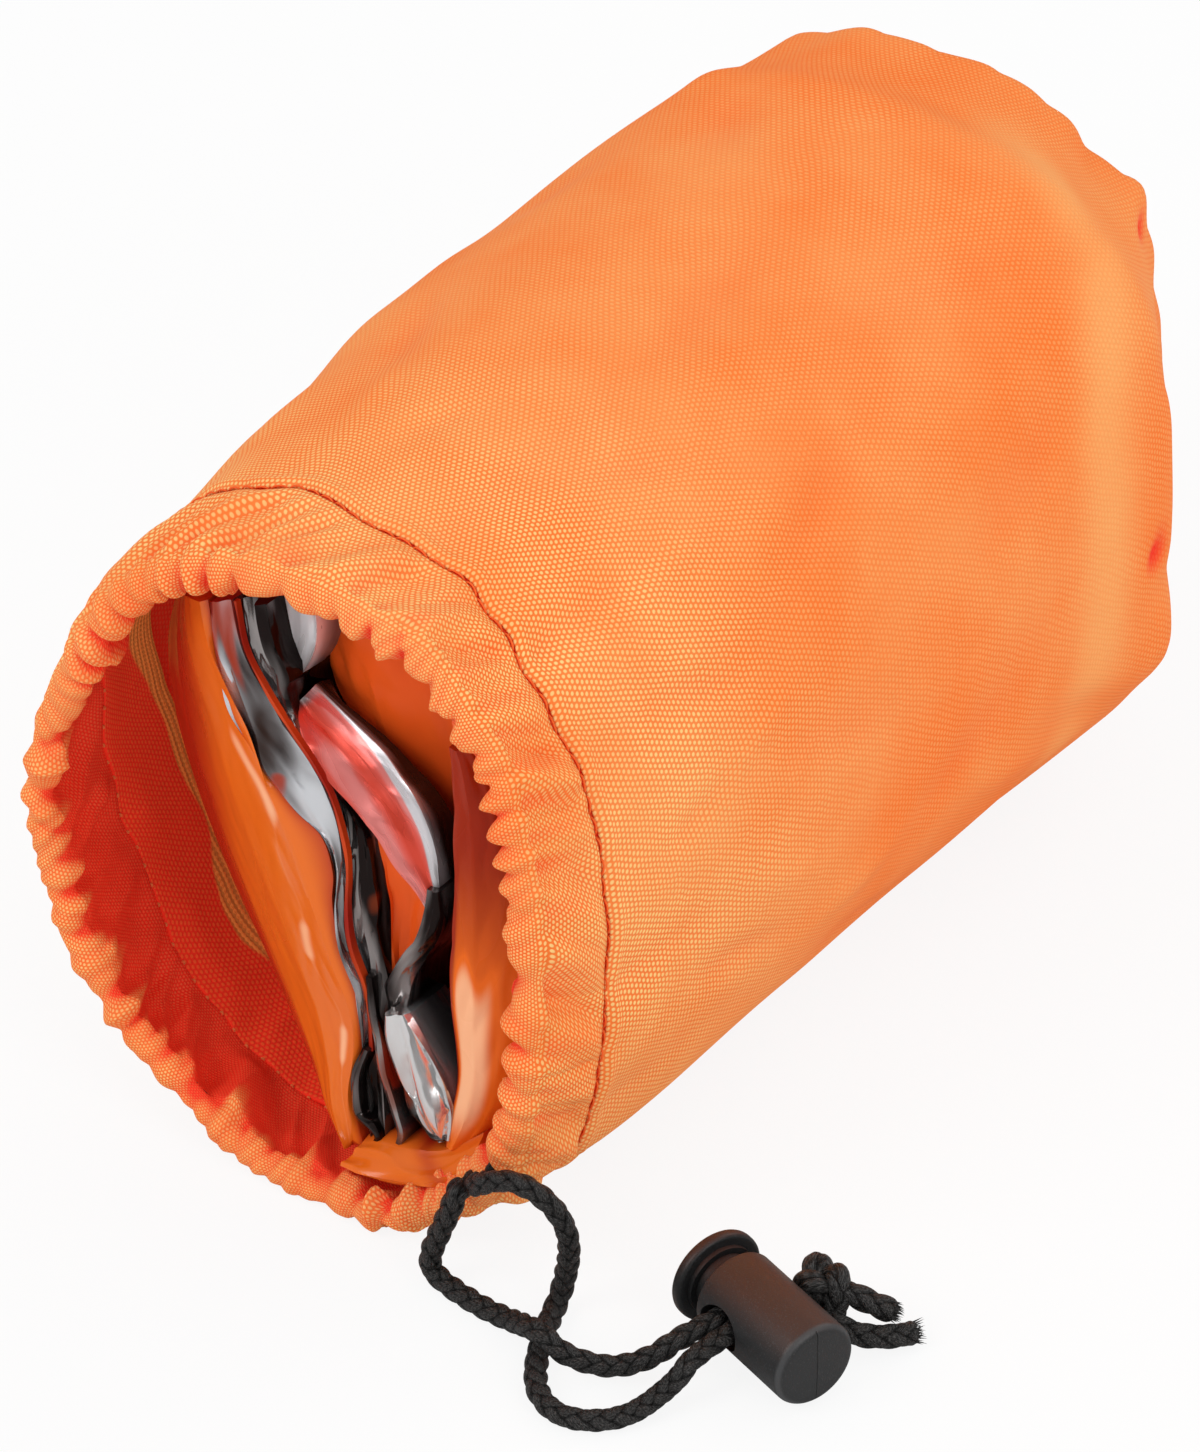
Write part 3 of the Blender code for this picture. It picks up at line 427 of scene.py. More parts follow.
def smooth_by_angle(piece, degrees):
    select_only(piece)
    bpy.ops.object.shade_smooth_by_angle(angle=math.radians(degrees))
    piece.select_set(False)


# Node helpers


def feed(tree, socket, value):
    """Link a socket to another, or give it a value."""
    if isinstance(value, bpy.types.NodeSocket):
        tree.links.new(value, socket)
    elif value is not None:
        if hasattr(value, "__len__") and len(value) == 3 and len(socket.default_value) == 4:
            value = (*value, 1.0)
        socket.default_value = value


def fill(tree, step, **values):
    """Feed a node's inputs by their names, in which _ stands for a space."""
    for label, value in values.items():
        feed(tree, step.inputs[label.replace("_", " ")], value)
    return step


def add_node(tree, kind, **values):
    return fill(tree, tree.nodes.new("ShaderNode" + kind), **values)


def calculate(tree, operation, *values):
    step = add_node(tree, "Math")
    step.operation = operation
    for socket, value in zip(step.inputs, values):
        feed(tree, socket, value)
    return step.outputs[0]


def times(tree, a, b):
    return calculate(tree, "MULTIPLY", a, b)


def plus(tree, a, b):
    return calculate(tree, "ADD", a, b)


def minus(tree, a, b):
    return calculate(tree, "SUBTRACT", a, b)


def vector_step(tree, operation, a, b):
    step = add_node(tree, "VectorMath")
    step.operation = operation
    feed(tree, step.inputs[0], a)
    feed(tree, step.inputs["Scale" if operation == "SCALE" else 1], b)
    return step.outputs["Value" if operation == "DOT_PRODUCT" else 0]


def parts_of(tree, vector):
    """The three numbers of a vector."""
    return add_node(tree, "SeparateXYZ", Vector=vector).outputs


def remap(tree, value, low, high, to_low=0.0, to_high=1.0):
    """A soft step of a number, from one range to another."""
    step = add_node(tree, "MapRange")
    step.interpolation_type = "SMOOTHSTEP"
    for socket, entry in zip(step.inputs, (value, low, high, to_low, to_high)):
        feed(tree, socket, entry)
    return step.outputs[0]


def tint(tree, share, low, high):
    """A colour between two others."""
    step = add_node(tree, "Mix")
    step.data_type = "RGBA"
    for number, value in ((0, share), (6, low), (7, high)):
        feed(tree, step.inputs[number], value)
    return step.outputs[2]


def cloudy(tree, place, scale, detail=3.0, roughness=0.5, distortion=0.0):
    return add_node(tree, "TexNoise", Vector=place, Scale=scale, Detail=detail, Roughness=roughness,
                    Distortion=distortion).outputs["Fac"]


def stretched(tree, place, scale, turn=(0, 0, 0)):
    return add_node(tree, "Mapping", Vector=place, Rotation=turn, Scale=scale).outputs["Vector"]


def bumped(tree, height, distance, strength=1.0, before=None):
    step = add_node(tree, "Bump", Strength=strength, Distance=distance, Height=height, Normal=before)
    return step.outputs["Normal"]


def mesh_hollow(tree):
    """The mesh's own per-point value: its painted shade and sheen, and in the selvedge its pale strip."""
    step = add_node(tree, "Attribute")
    step.attribute_name = "hollow"
    return step.outputs["Fac"]


def start_material(name):
    """A material with an empty Principled shader; its tree, the shader and the coordinates."""
    finish = bpy.data.materials.new(name)
    finish.use_nodes = True
    tree = finish.node_tree
    return finish, tree, tree.nodes["Principled BSDF"], add_node(tree, "TexCoord").outputs


def start_group(name, inputs, outputs):
    """A shader node group with float sockets, except Place, which is a vector."""
    group = bpy.data.node_groups.new(name, "ShaderNodeTree")
    for way, labels in (("INPUT", inputs), ("OUTPUT", outputs)):
        for label in labels:
            kind = "NodeSocketVector" if label == "Place" else "NodeSocketFloat"
            group.interface.new_socket(label, in_out=way, socket_type=kind)
    return group, group.nodes.new("NodeGroupInput").outputs, group.nodes.new("NodeGroupOutput")


def use_group(tree, name, **values):
    """The outputs of a shared group for these inputs. The group is built when it is first used."""
    step = tree.nodes.new("ShaderNodeGroup")
    step.node_tree = bpy.data.node_groups.get(name) or GROUPS[name](name)
    return fill(tree, step, **values).outputs


# Shared groups


def weave_group(name):
    """Oxford weave: staggered raised threads. Place is the cloth's own UV, in metres."""
    group, given, out = start_group(name, ("Place", "Threads", "Rows", "Uneven"), ("Thread", "Relief"))
    drift = times(group, minus(group, cloudy(group, given["Place"], 260.0, 1.0), 0.5), given["Uneven"])
    place = parts_of(group, given["Place"])
    across = plus(group, times(group, place[0], given["Threads"]), drift)
    along = plus(group, times(group, place[1], given["Rows"]), drift)
    shift = calculate(group, "FRACT", times(group, calculate(group, "FLOOR", along), 0.5))
    reach = []
    for run, narrow, roundness in ((plus(group, across, shift), 2.6, 2.2), (along, 2.45, 2.0)):
        from_middle = times(group, minus(group, calculate(group, "FRACT", run), 0.5), narrow)
        reach.append(calculate(group, "POWER", calculate(group, "ABSOLUTE", from_middle), roundness))
    reach = plus(group, *reach)
    fill(group, out, Thread=remap(group, reach, 1.15, 0.25), Relief=remap(group, reach, 1.6, 0.0))
    return group


def crumple_group(name):
    """Creased film: long streaks and soft folds, so many to the metre across and along its UV."""
    group, given, out = start_group(name, ("Place", "Across", "Along"), ("Streak", "Fine", "Height"))
    scale = add_node(group, "CombineXYZ", X=given["Across"], Y=given["Along"], Z=given["Along"])
    place = vector_step(group, "MULTIPLY", given["Place"], scale.outputs[0])
    streak = cloudy(group, place, 0.8, 0.6, 0.4, 0.5)
    fine = cloudy(group, place, 2.4, 1.0, 0.4, 0.5)
    fold = calculate(group, "ABSOLUTE", minus(group, streak, 0.5))
    fill(group, out, Streak=streak, Fine=fine, Height=calculate(group, "MULTIPLY_ADD", fine, 0.25, fold))
    return group


def grain_group(name):
    """Fine moulded grain of satin plastic."""
    group, given, out = start_group(name, ("Place", "Size"), ("Speck", "Height"))
    fine = cloudy(group, vector_step(group, "SCALE", given["Place"], given["Size"]), 1.0, 2.0, 0.6)
    fill(group, out, Speck=remap(group, fine, 0.56, 0.72), Height=fine)
    return group


GROUPS = {"oxford_weave": weave_group, "film_creases": crumple_group, "moulded_grain": grain_group}


# Finishes


def scaled(colour, factor, lift=0.0):
    return tuple(value * factor + lift for value in colour)


def blend(first, second, share):
    return tuple(mix(a, b, share) for a, b in zip(first, second))


def cloth_finish(name, own, strength, fade=True, inside=False):
    """Coated Oxford cloth: pale raised threads, a painted deeper shade and glow in the hollows, a painted pale
    sheen where the hollow value is below 0, and soft changes of tone.
    """
    finish, tree, shader, place = start_material(name)
    weave = use_group(tree, "oxford_weave", Place=place["UV"], Threads=WARP, Rows=WEFT, Uneven=UNEVEN_WEAVE)
    tone = cloudy(tree, place["Object"], 34.0, 3.0, 0.5)
    patch = cloudy(tree, place["Object"], 58.0, 2.0, 0.5, 0.4)
    share = times(tree, weave["Thread"], remap(tree, patch, 0.36, 0.64, 0.7, 1.0))
    if fade:
        share = times(tree, share, remap(tree, parts_of(tree, place["Object"])[1], -0.066, -0.01, 1.0, 0.3))
    share = times(tree, share, strength)
    # deep is painted shade: the inside's deep red stands in for the little light inside the sack and in the
    # hollows
    ground, thread, deep = own.cloth, own.thread, own.shaded_inside
    between_threads = tint(tree, remap(tree, tone, 0.25, 0.8), ground, blend(ground, thread, 0.2))
    outer = tint(tree, share, between_threads, thread)
    inner = tint(tree, share, deep, blend(deep, thread, 0.13))
    # Painted sheen: paler where the hollow value is below 0
    hollow = mesh_hollow(tree)
    outer = tint(tree, remap(tree, hollow, 0.0, -1.0), outer, blend(ground, thread, 0.6))
    # Painted shade and glow: the deep red colour in the hollows, given off as light too
    fill(tree, shader, Base_Color=inner if inside else tint(tree, hollow, outer, inner),
         Roughness=remap(tree, tone, 0.3, 0.7, 0.70, 0.58), Specular_IOR_Level=CLOTH_SPECULAR,
         Emission_Color=inner if inside else tint(tree, hollow, (0, 0, 0), inner),
         Emission_Strength=PAINTED_GLOW * (1.0 if inside else 0.4),
         Normal=bumped(tree, weave["Relief"], 0.00012, 0.7, bumped(tree, patch, 0.0009, 0.2)))
    return finish


def selvedge_finish(name, own):
    """The cloth's inside with its woven edge: pale cords in rows, where the mesh's hollow value is 1."""
    finish, tree, shader, place = start_material(name)
    weave = use_group(tree, "oxford_weave", Place=place["UV"], Threads=WARP, Rows=WEFT, Uneven=UNEVEN_WEAVE)
    edge = mesh_hollow(tree)
    # Painted shade: the inside's deep red colour under the weave
    inner = tint(tree, weave["Thread"], own.shaded_inside, blend(own.shaded_inside, own.selvedge, 0.22))
    beads, cords = (calculate(tree, "SINE", times(tree, run, count))
                    for run, count in zip(parts_of(tree, place["UV"]), (6900.0, 5200.0)))
    rows = plus(tree, cords, times(tree, beads, 0.5))
    pale = tint(tree, remap(tree, rows, -0.7, 0.9), scaled(own.selvedge, 0.62), own.selvedge)
    shade = tint(tree, edge, inner, pale)
    relief = calculate(tree, "MULTIPLY_ADD", times(tree, rows, edge), 0.5, weave["Relief"])
    # Painted glow: the whole turned-in cloth gives off its own colour as light
    fill(tree, shader, Base_Color=shade, Roughness=0.65, Specular_IOR_Level=CLOTH_SPECULAR,
         Emission_Color=shade, Emission_Strength=PAINTED_GLOW, Normal=bumped(tree, relief, 0.00011, 0.7))
    return finish


def thread_finish(name, colour):
    finish, tree, shader, place = start_material(name)
    twist = cloudy(tree, stretched(tree, place["Object"], (900, 900, 900)), 1.0, 2.0)
    fill(tree, shader, Base_Color=tint(tree, twist, scaled(colour, 0.8), colour), Specular_IOR_Level=0.1,
         Roughness=remap(tree, twist, 0.2, 0.8, 0.5, 0.7), Normal=bumped(tree, twist, 0.0001, 0.5))
    return finish


def orange_film_finish(name, colour, deep, roughness=0.16, gloss=0.35):
    """Smooth glossy film: painted redder shade where it turns away, painted near-black shade further in, and a
    painted paler sheen along a fold.
    """
    finish, tree, shader, place = start_material(name)
    crease = use_group(tree, "film_creases", Place=place["UV"], Across=210.0, Along=60.0)
    hollow = mesh_hollow(tree)
    # Painted shade and sheen from the mesh's hollow value: deep red from 0 to 1, near-black from 1 to 2, pale
    # sheen below 0; the crease streaks darken it a little too
    shade = tint(tree, hollow, colour, deep)
    shade = tint(tree, remap(tree, crease["Streak"], 0.45, 0.8, 0.0, 0.08), shade, deep)
    shade = tint(tree, remap(tree, hollow, 1.0, 2.0), shade, NEARLY_BLACK)
    fill(tree, shader, Base_Color=tint(tree, remap(tree, hollow, -0.1, -1.0), shade, SHEEN),
         Roughness=remap(tree, crease["Streak"], 0.3, 0.7, roughness, roughness + 0.12),
         Specular_IOR_Level=gloss, Coat_Weight=gloss * 0.4, Coat_Roughness=0.1,
         Normal=bumped(tree, crease["Height"], 0.0006, 0.3))
    return finish


def silver_film_finish(name, bright, dark, reflected, balance, mirrored, glow=0.0, roughness=0.1,
                       metallic=0.85):
    """Aluminised film with painted reflections: long bright and dark streaks, and the orange side mirrored in it
    as painted colour.

    glow is the share of the painted orange reflection where the mesh's hollow value is 0.
    """
    finish, tree, shader, place = start_material(name)
    crease = use_group(tree, "film_creases", Place=place["UV"], Across=330.0, Along=62.0)
    patch = use_group(tree, "film_creases", Place=place["Object"], Across=120.0, Along=120.0)
    hollow = mesh_hollow(tree)
    # Painted reflections: bright and dark streaks, patches of the mirrored orange, and a painted orange glow;
    # painted shade where the hollow value runs from 1 to 2
    tone = calculate(tree, "MULTIPLY_ADD", crease["Fine"], 0.15, times(tree, crease["Streak"], 0.85))
    shine = remap(tree, tone, balance - 0.14, balance + 0.14)
    mirror = remap(tree, patch["Streak"], 0.66 - mirrored * 0.3, 0.76 - mirrored * 0.3)
    glowing = times(tree, remap(tree, hollow, 0.0, 1.0, glow, 0.0), remap(tree, shine, 0.5, 1.0, 1.0, 0.85))
    mirror = calculate(tree, "MAXIMUM", mirror, glowing)
    base = tint(tree, times(tree, mirror, 0.9), tint(tree, shine, dark, bright), reflected)
    fill(tree, shader, Base_Color=tint(tree, remap(tree, hollow, 1.0, 2.0), base, scaled(dark, 0.6)),
         Metallic=metallic, Roughness=remap(tree, crease["Fine"], 0.3, 0.7, roughness, roughness + 0.14),
         Normal=bumped(tree, crease["Height"], 0.0012, 0.4))
    return finish


def cord_finish(name, colour):
    """Black plaited yarn: fine filaments along each strand with painted pale highlights, and painted shade
    between the strands.
    """
    finish, tree, shader, place = start_material(name)
    fibres = cloudy(tree, stretched(tree, place["UV"], (16.0, 1.2, 1.0)), 1.0, 2.0, 0.6)
    strand = tint(tree, remap(tree, fibres, 0.42, 0.72), colour, scaled(colour, 8, 0.045))
    # Painted shade between the strands, from the mesh's hollow value
    fill(tree, shader, Base_Color=tint(tree, mesh_hollow(tree), strand, scaled(colour, 0.1)),
         Roughness=remap(tree, fibres, 0.3, 0.7, 0.24, 0.40), Specular_IOR_Level=0.32,
         Normal=bumped(tree, fibres, 0.0002, 1.0))
    return finish


def plastic_finish(name, colour, painted_top_light, line=False):
    """Satin moulded plastic with fine grain, painted light that makes its upper side lighter and warmer, a
    parting line, and a painted highlight on the cap's rim.
    """
    finish, tree, shader, place = start_material(name)
    grain = use_group(tree, "moulded_grain", Place=place["Object"], Size=5200.0)
    up = parts_of(tree, place["Normal"])[2]
    # Painted light: the upper side turns lighter and warmer
    shade = tint(tree, times(tree, remap(tree, up, 0.35, 0.95), 0.85), colour, painted_top_light)
    shade = tint(tree, times(tree, grain["Speck"], 0.5), shade, scaled(colour, 4, 0.02))
    bump = bumped(tree, grain["Height"], 0.00006, 0.55)
    if line:
        heading = math.radians(LOCK_HEADING)
        lock = lock_place()
        middle = lock.translation.y * math.cos(heading) - lock.translation.x * math.sin(heading)
        across = parts_of(tree, stretched(tree, place["Object"], (1, 1, 1), (0, 0, -heading)))[1]
        gap = calculate(tree, "ABSOLUTE", minus(tree, across, middle))
        # Painted highlight: a paler ring on the cap's rounded rim
        cap = vector_step(tree, "DOT_PRODUCT", place["Normal"], -lock.to_3x3().col[2])
        rim = times(tree, remap(tree, cap, 0.15, 0.5), remap(tree, cap, 0.97, 0.7))
        shade = tint(tree, times(tree, rim, 0.7), shade, scaled(colour, 3.6))
        upright = remap(tree, calculate(tree, "ABSOLUTE", up), 0.75, 0.6)
        seam = times(tree, remap(tree, gap, 0.00012, 0.0), upright)
        shade = tint(tree, times(tree, seam, 0.7), shade, scaled(colour, 0.35))
        bump = bumped(tree, times(tree, seam, -1.0), 0.0002, 1.0, bump)
    fill(tree, shader, Base_Color=shade, Roughness=remap(tree, grain["Height"], 0.3, 0.7, 0.38, 0.52),
         Specular_IOR_Level=0.45, Normal=bump)
    return finish


def steel_finish(name):
    finish, tree, shader, place = start_material(name)
    drawn = cloudy(tree, stretched(tree, place["Object"], (2400, 2400, 300)), 1.0, 2.0)
    fill(tree, shader, Base_Color=tint(tree, drawn, (0.42, 0.42, 0.43), (0.62, 0.62, 0.63)), Metallic=1.0,
         Roughness=remap(tree, drawn, 0.2, 0.8, 0.2, 0.36))
    return finish


def table_finish(name):
    """White table: the camera sees it nearly white, with the object's soft shadow."""
    finish, tree, shader, place = start_material(name)
    light = add_node(tree, "LightPath").outputs
    shown = calculate(tree, "MULTIPLY_ADD", light["Is Glossy Ray"], -0.36, 0.86)
    fill(tree, shader, Base_Color=shown, Roughness=0.9, Specular_IOR_Level=0.1)
    both = add_node(tree, "MixShader")
    feed(tree, both.inputs[0], times(tree, light["Is Camera Ray"], 0.88))
    feed(tree, both.inputs[1], shader.outputs[0])
    feed(tree, both.inputs[2], add_node(tree, "Emission").outputs[0])
    fill(tree, tree.nodes["Material Output"], Surface=both.outputs[0])
    return finish


# The sack's shape


def oval(half_width, half_height, squareness, turn):
    across = np.copysign(np.abs(np.cos(turn)) ** (2 / squareness), np.cos(turn))
    up = np.copysign(np.abs(np.sin(turn)) ** (2 / squareness), np.sin(turn))
    return across * half_width, up * half_height


def even_turns(count):
    """Turns around the sack that are evenly spaced on the cloth, from its side seam on."""
    fine = np.linspace(0, math.tau, 7201) + math.radians(SEAM_TURN)
    x, z = oval(*BELLY, SQUARENESS[0], fine)
    length = np.concatenate([[0], np.cumsum(np.hypot(np.diff(x), np.diff(z)))])
    return np.interp(np.arange(count) / count * length[-1], length, fine)


def sack_outline(y):
    """Half width, half height, middle across, middle up, squareness and bow of the sack at these distances."""
    fine = np.arange(STITCH_Y - 0.012, BASE_Y + 0.012, 0.0005)
    share = np.clip((fine - STITCH_Y) / (TAPER_Y - STITCH_Y), 0, 1)
    swell = along_table(SWELLING, share)
    past = (fine - TAPER_Y) / (BASE_Y - TAPER_Y)
    narrow = np.where(past > 1, past, along_table(TAPER, np.clip(past, 0, 1)))
    half_width = mix(mix(SHOULDER[0], BELLY[0], swell), BASE[0], narrow)
    half_height = mix(mix(SHOULDER[1], BELLY[1], swell), BASE[1], narrow)
    across = MOUTH_MIDDLE[0] * (1 - swell) + BASE_MIDDLE[0] * narrow
    up = mix(half_height - FLATTENED, BASE_MIDDLE[1], narrow)
    square = mix(SQUARENESS[0], SQUARENESS[1], share)
    bow = SHOULDER_BOW * np.clip(1 - share / BOW_END, 0, 1)
    reach = np.arange(-14, 15)
    weight = np.exp(-(reach / 5.5) ** 2)
    weight /= weight.sum()
    made = []
    for line in (half_width, half_height, across, up, square, bow):
        padded = np.concatenate([np.full(14, line[0]), line, np.full(14, line[-1])])
        made.append(np.interp(y, fine, np.convolve(padded, weight, "valid")))
    return made


def stitch_back(turn):
    """How far behind its middle the stitch line lies, around the sack."""
    return around_table(turn, STITCH_LINE) + 0.0005 * wander(turn, 4, 5, 9) + 0.0006 * wander(turn, 7, 4, 23)


def stitch_crease(turn, away):
    """The depth of the crease in which the stitches lie, this far from them."""
    return CREASE * (1 + 0.35 * wander(turn, 6, 4, 6)) * np.exp(-((away / 0.0009) ** 1.3))


def pressed(turn, y, marks):
    """The depth of a table of soft marks at these places."""
    total = np.zeros(np.broadcast(turn, y).shape)
    for at_turn, at_y, length, width, slant, depth in marks:
        across = (np.mod(turn - math.radians(at_turn) + math.pi, math.tau) - math.pi) * BELLY[0]
        along = y - at_y * MM
        lean = math.radians(slant)
        a = (along * math.cos(lean) + across * math.sin(lean)) / (length * MM / 2)
        b = (across * math.cos(lean) - along * math.sin(lean)) / (width * MM / 2)
        total += depth * MM * np.exp(-(a ** 2) - (b ** 2))
    return total


def cloth_relief(turn, y):
    """How far the sack's cloth stands out of its plain shape, and its painted shade and sheen, behind the stitch
    line.
    """
    away = y - STITCH_Y
    fine = lobes(turn, 27, 5, 1.3)
    broad = lobes(turn, 13, 8, 1.5)
    slanted = wander(turn + away * 3.0, 3, 5, 5)
    relief = 0.0005 * (fine - 0.6) * np.exp(-away / 0.008)
    relief += 0.0015 * (broad - 0.6) * smooth_step(0, 0.006, away) * np.exp(-away / 0.022)
    relief += 0.0006 * slanted * smooth_step(0, 0.02, away) * np.exp(-away / 0.07)
    relief += 0.85 * (pressed(turn, y, RIDGES) - pressed(turn, y, DENTS))
    relief += 0.0006 * (lobes(turn, 31, 9, 1.2) - 0.6) * np.exp(-(BASE_Y - y) / 0.005)
    # Painted shade in the dents
    hollow = np.clip(-relief / 0.0016, 0, 1) * 0.15
    # Painted red shade in the stitched dimples
    for at_turn, at_y in BASE_DIMPLES:
        dimple = pressed(turn, y, ((at_turn, at_y, 5, 3.2, 0, 1),)) / MM
        relief -= 0.0011 * dimple
        hollow = np.clip(hollow + 1.2 * dimple, 0, 1)
    # Painted sheen: a pale band low on one side, given as a negative hollow value
    sheen_distance = np.abs(y - around_table(turn, PAINTED_SHEEN_BAND)) + 0.002 * wander(turn, 21, 4, 3)
    band = smooth_step(0.015, 0.0, sheen_distance) * smooth_step(0.30, 0.75, np.cos(turn - math.radians(20)))
    return relief + pressed(turn, y, FULLNESS), hollow - 0.55 * band * (1 - np.clip(hollow * 2, 0, 1))


def sack_surface(turn, y, inset=0.0):
    """Points of the sack's cloth. turn is a row around, y a column along or one y for each point."""
    turn = np.asarray(turn, float)[None, :]
    y = np.asarray(y, float)
    y = y[:, None] if y.ndim == 1 else y
    half_width, half_height, across, up, square, bow = sack_outline(y)
    lean = np.clip(1 - (y - STITCH_Y) / (TAPER_Y - STITCH_Y), 0, 1)
    stand, hollow = cloth_relief(turn, y)
    x, z = oval(half_width - inset + stand, half_height - inset + stand, square, turn)
    along = y + stitch_back(turn) * lean + 0 * x
    grid = np.stack([across + x + bow * (z / half_height) ** 2, along, up + z], -1)
    grid[..., 2] = settle(grid[..., 2], inset)
    return grid, hollow


def settle(height, floor):
    """Press what is lower than the table flat, with a soft turn into the flat."""
    soft, dip = 0.0007, 0.0004
    over = (height - floor) / soft
    lifted = np.where(over > 6, over, np.log1p(np.exp(np.clip(over, -40, 6)))) * soft
    return floor + lifted - dip * np.exp(-np.abs(over))


def cloth_uv(turns, y):
    """UV of the cloth in metres: its even length around, and along."""
    around = np.arange(len(turns) + 1) / len(turns) * GIRTH
    return np.stack(np.meshgrid(around, y), -1)


# Pieces


def colour_setting(name, description, *default):
    return FloatVectorProperty(name=name, description=description, subtype="COLOR", size=3, min=0, max=1,
                               default=default)


class BivvyBagSettings(bpy.types.PropertyGroup):
    """Sizes and colours of the bag that a user would change."""

    cloth: colour_setting("Cloth", "Outside of the stuff sack", 0.95, 0.195, 0.034)
    thread: colour_setting("Raised threads", "Pale threads of the weave", 1.0, 0.66, 0.25)
    # Painted shade: the inside is the same orange cloth, made red where little light reaches it
    shaded_inside: colour_setting("Inside", "Inside of the sack", 0.90, 0.044, 0.020)
    selvedge: colour_setting("Selvedge", "Woven edge inside the mouth", 1.0, 0.34, 0.075)
    stitches: colour_setting("Stitches", "Sewing thread", 0.9775, 0.15375, 0.0318)
    film: colour_setting("Film", "Orange side of the bivvy bag", 0.80, 0.155, 0.012)
    cord: colour_setting("Drawcord", "Yarn of the drawcord", 0.0045, 0.0040, 0.0037)
    plastic: colour_setting("Cord lock", "Plastic of the cord lock", 0.0165, 0.0168, 0.0175)
    gather_depth: FloatProperty(name="Gather depth", description="How far a gather of the lip stands out",
                                default=0.0013, min=0.0, max=0.003, unit="LENGTH")
    stitch_length: FloatProperty(name="Stitch length", description="One stitch of the hem", default=0.0031,
                                 min=0.001, max=0.006, unit="LENGTH")
    across_points: IntProperty(name="Points around", description="Points of the sack's mesh around it",
                               default=340, min=60, max=600)
    lamp_power: FloatProperty(name="Lamp power", description="Power of the main lamp in watts",
                              default=5.0, min=0, max=100)


def settings():
    return bpy.context.scene.bivvy_bag


def lock_place():
    """The lock's frame: origin in the middle of its cap face, X up, Z towards the plunger's head."""
    heading = math.radians(LOCK_HEADING)
    along = Vector((math.cos(heading), math.sin(heading), 0))
    through = Vector((along.y, -along.x, 0))
    turn = Matrix((Vector((0, 0, 1)), through, along)).transposed().to_4x4()
    return Matrix.Translation((*LOCK_CAP, FLANGE_DIAMETER / 2)) @ turn


def leg_points(exit_point, free, side):
    """A leg's line: out of the hem, along the table, and straight through the lock to the knot."""
    place = lock_place()
    along = place.to_3x3() @ Vector((0, 0, 1))
    through = place.to_3x3() @ Vector((0, 1, 0))
    line = place @ Vector((0, 0, HOLE_FROM_CAP)) + along * side * (CORD + GAP) / 2
    start = Vector(exit_point) + Vector((0, -GAP, 0))
    loose = [start + Vector((0, -EXIT_LEAD, 0)), *free, line - through * (LOCK_DIAMETER / 2 + STRAIGHT_LEAD)]
    loose = resampled(loose, max(3, round(route_length(loose) / 0.0004)))
    ends = [line - through * LOCK_DIAMETER / 2 * share for share in (1.0, 0.5, 0.0, -0.5, -1.0)]
    return resampled(np.vstack([[start], loose[::6], ends]), 30 * 12)


def cord_frames(points):
    """Directions sideways, up and ahead along a line, without twist."""
    ahead = np.gradient(np.array(points, float), axis=0)
    ahead /= np.linalg.norm(ahead, axis=1, keepdims=True)
    side = np.cross(ahead[0], (0.0, 0.0, 1.0))
    if np.linalg.norm(side) < 0.1:
        side = np.cross(ahead[0], (1.0, 0.0, 0.0))
    sides = []
    for direction in ahead:
        side = side - direction * side.dot(direction)
        side = side / np.linalg.norm(side)
        sides.append(side)
    return np.array(sides), np.cross(ahead, sides), ahead


def plait(turn, length):
    """A braid's relief, 0 to 1, how far down it is between strands as a painted shade mask, and a place across
    and along the top one.
    """
    first = STRANDS * (turn / math.tau + length / PLAIT_PITCH)
    second = STRANDS * (turn / math.tau - length / PLAIT_PITCH)
    kind = np.mod(np.floor(first) + np.floor(second), 4)
    a, b = np.mod(first, 1.0), np.mod(second, 1.0)
    top = kind < 2
    across = np.where(top, a, b) - 0.5
    run = np.where(top, (kind + b) / 2, (kind - 2 + a) / 2)
    crown = 1 - 0.55 * (2 * run - 1) ** 2
    relief = np.sqrt(np.clip(1 - (2 * across) ** 2 * 0.92, 0, 1)) * crown
    return relief, smooth_step(0.62, 0.22, relief), across, np.where(top, first + second, second - first)


def braided(name, points, diameter, material, columns=44, taper=0.0, step=0.00022):
    """A braided cord along a line, named like the node it stands for. taper narrows its cut end."""
    length = route_length(points)
    count = max(8, round(length / step))
    line = resampled(points, count)
    sides, ups, ahead = cord_frames(line)
    turn = np.arange(columns) / columns * math.tau
    travelled = np.linspace(0, length, count)
    relief, deep, across, run = plait(turn[None, :], travelled[:, None] * (CORD / diameter))
    radius = diameter / 2 - PLAIT_RELIEF * 1.1 + (relief * 1.55) * PLAIT_RELIEF
    near_end = smooth_step(0, 0.0006, length - travelled) * smooth_step(0, 0.0006, travelled + 0.0002)
    radius = radius * (1 - taper * (1 - near_end[:, None]))
    grid = (line[:, None, :] + sides[:, None, :] * (np.cos(turn)[None, :, None] * radius[..., None])
            + ups[:, None, :] * (np.sin(turn)[None, :, None] * radius[..., None]))
    uv = np.stack([across, run * 4], -1)
    uv = np.concatenate([uv, uv[:, :1]], 1)
    # The mask between the strands goes on as the cord's painted shade
    mesh = skin(name, grid, uv, deep, caps=True, flip=True)
    return add_piece(name, mesh, material, "sack", "drawcord", name)


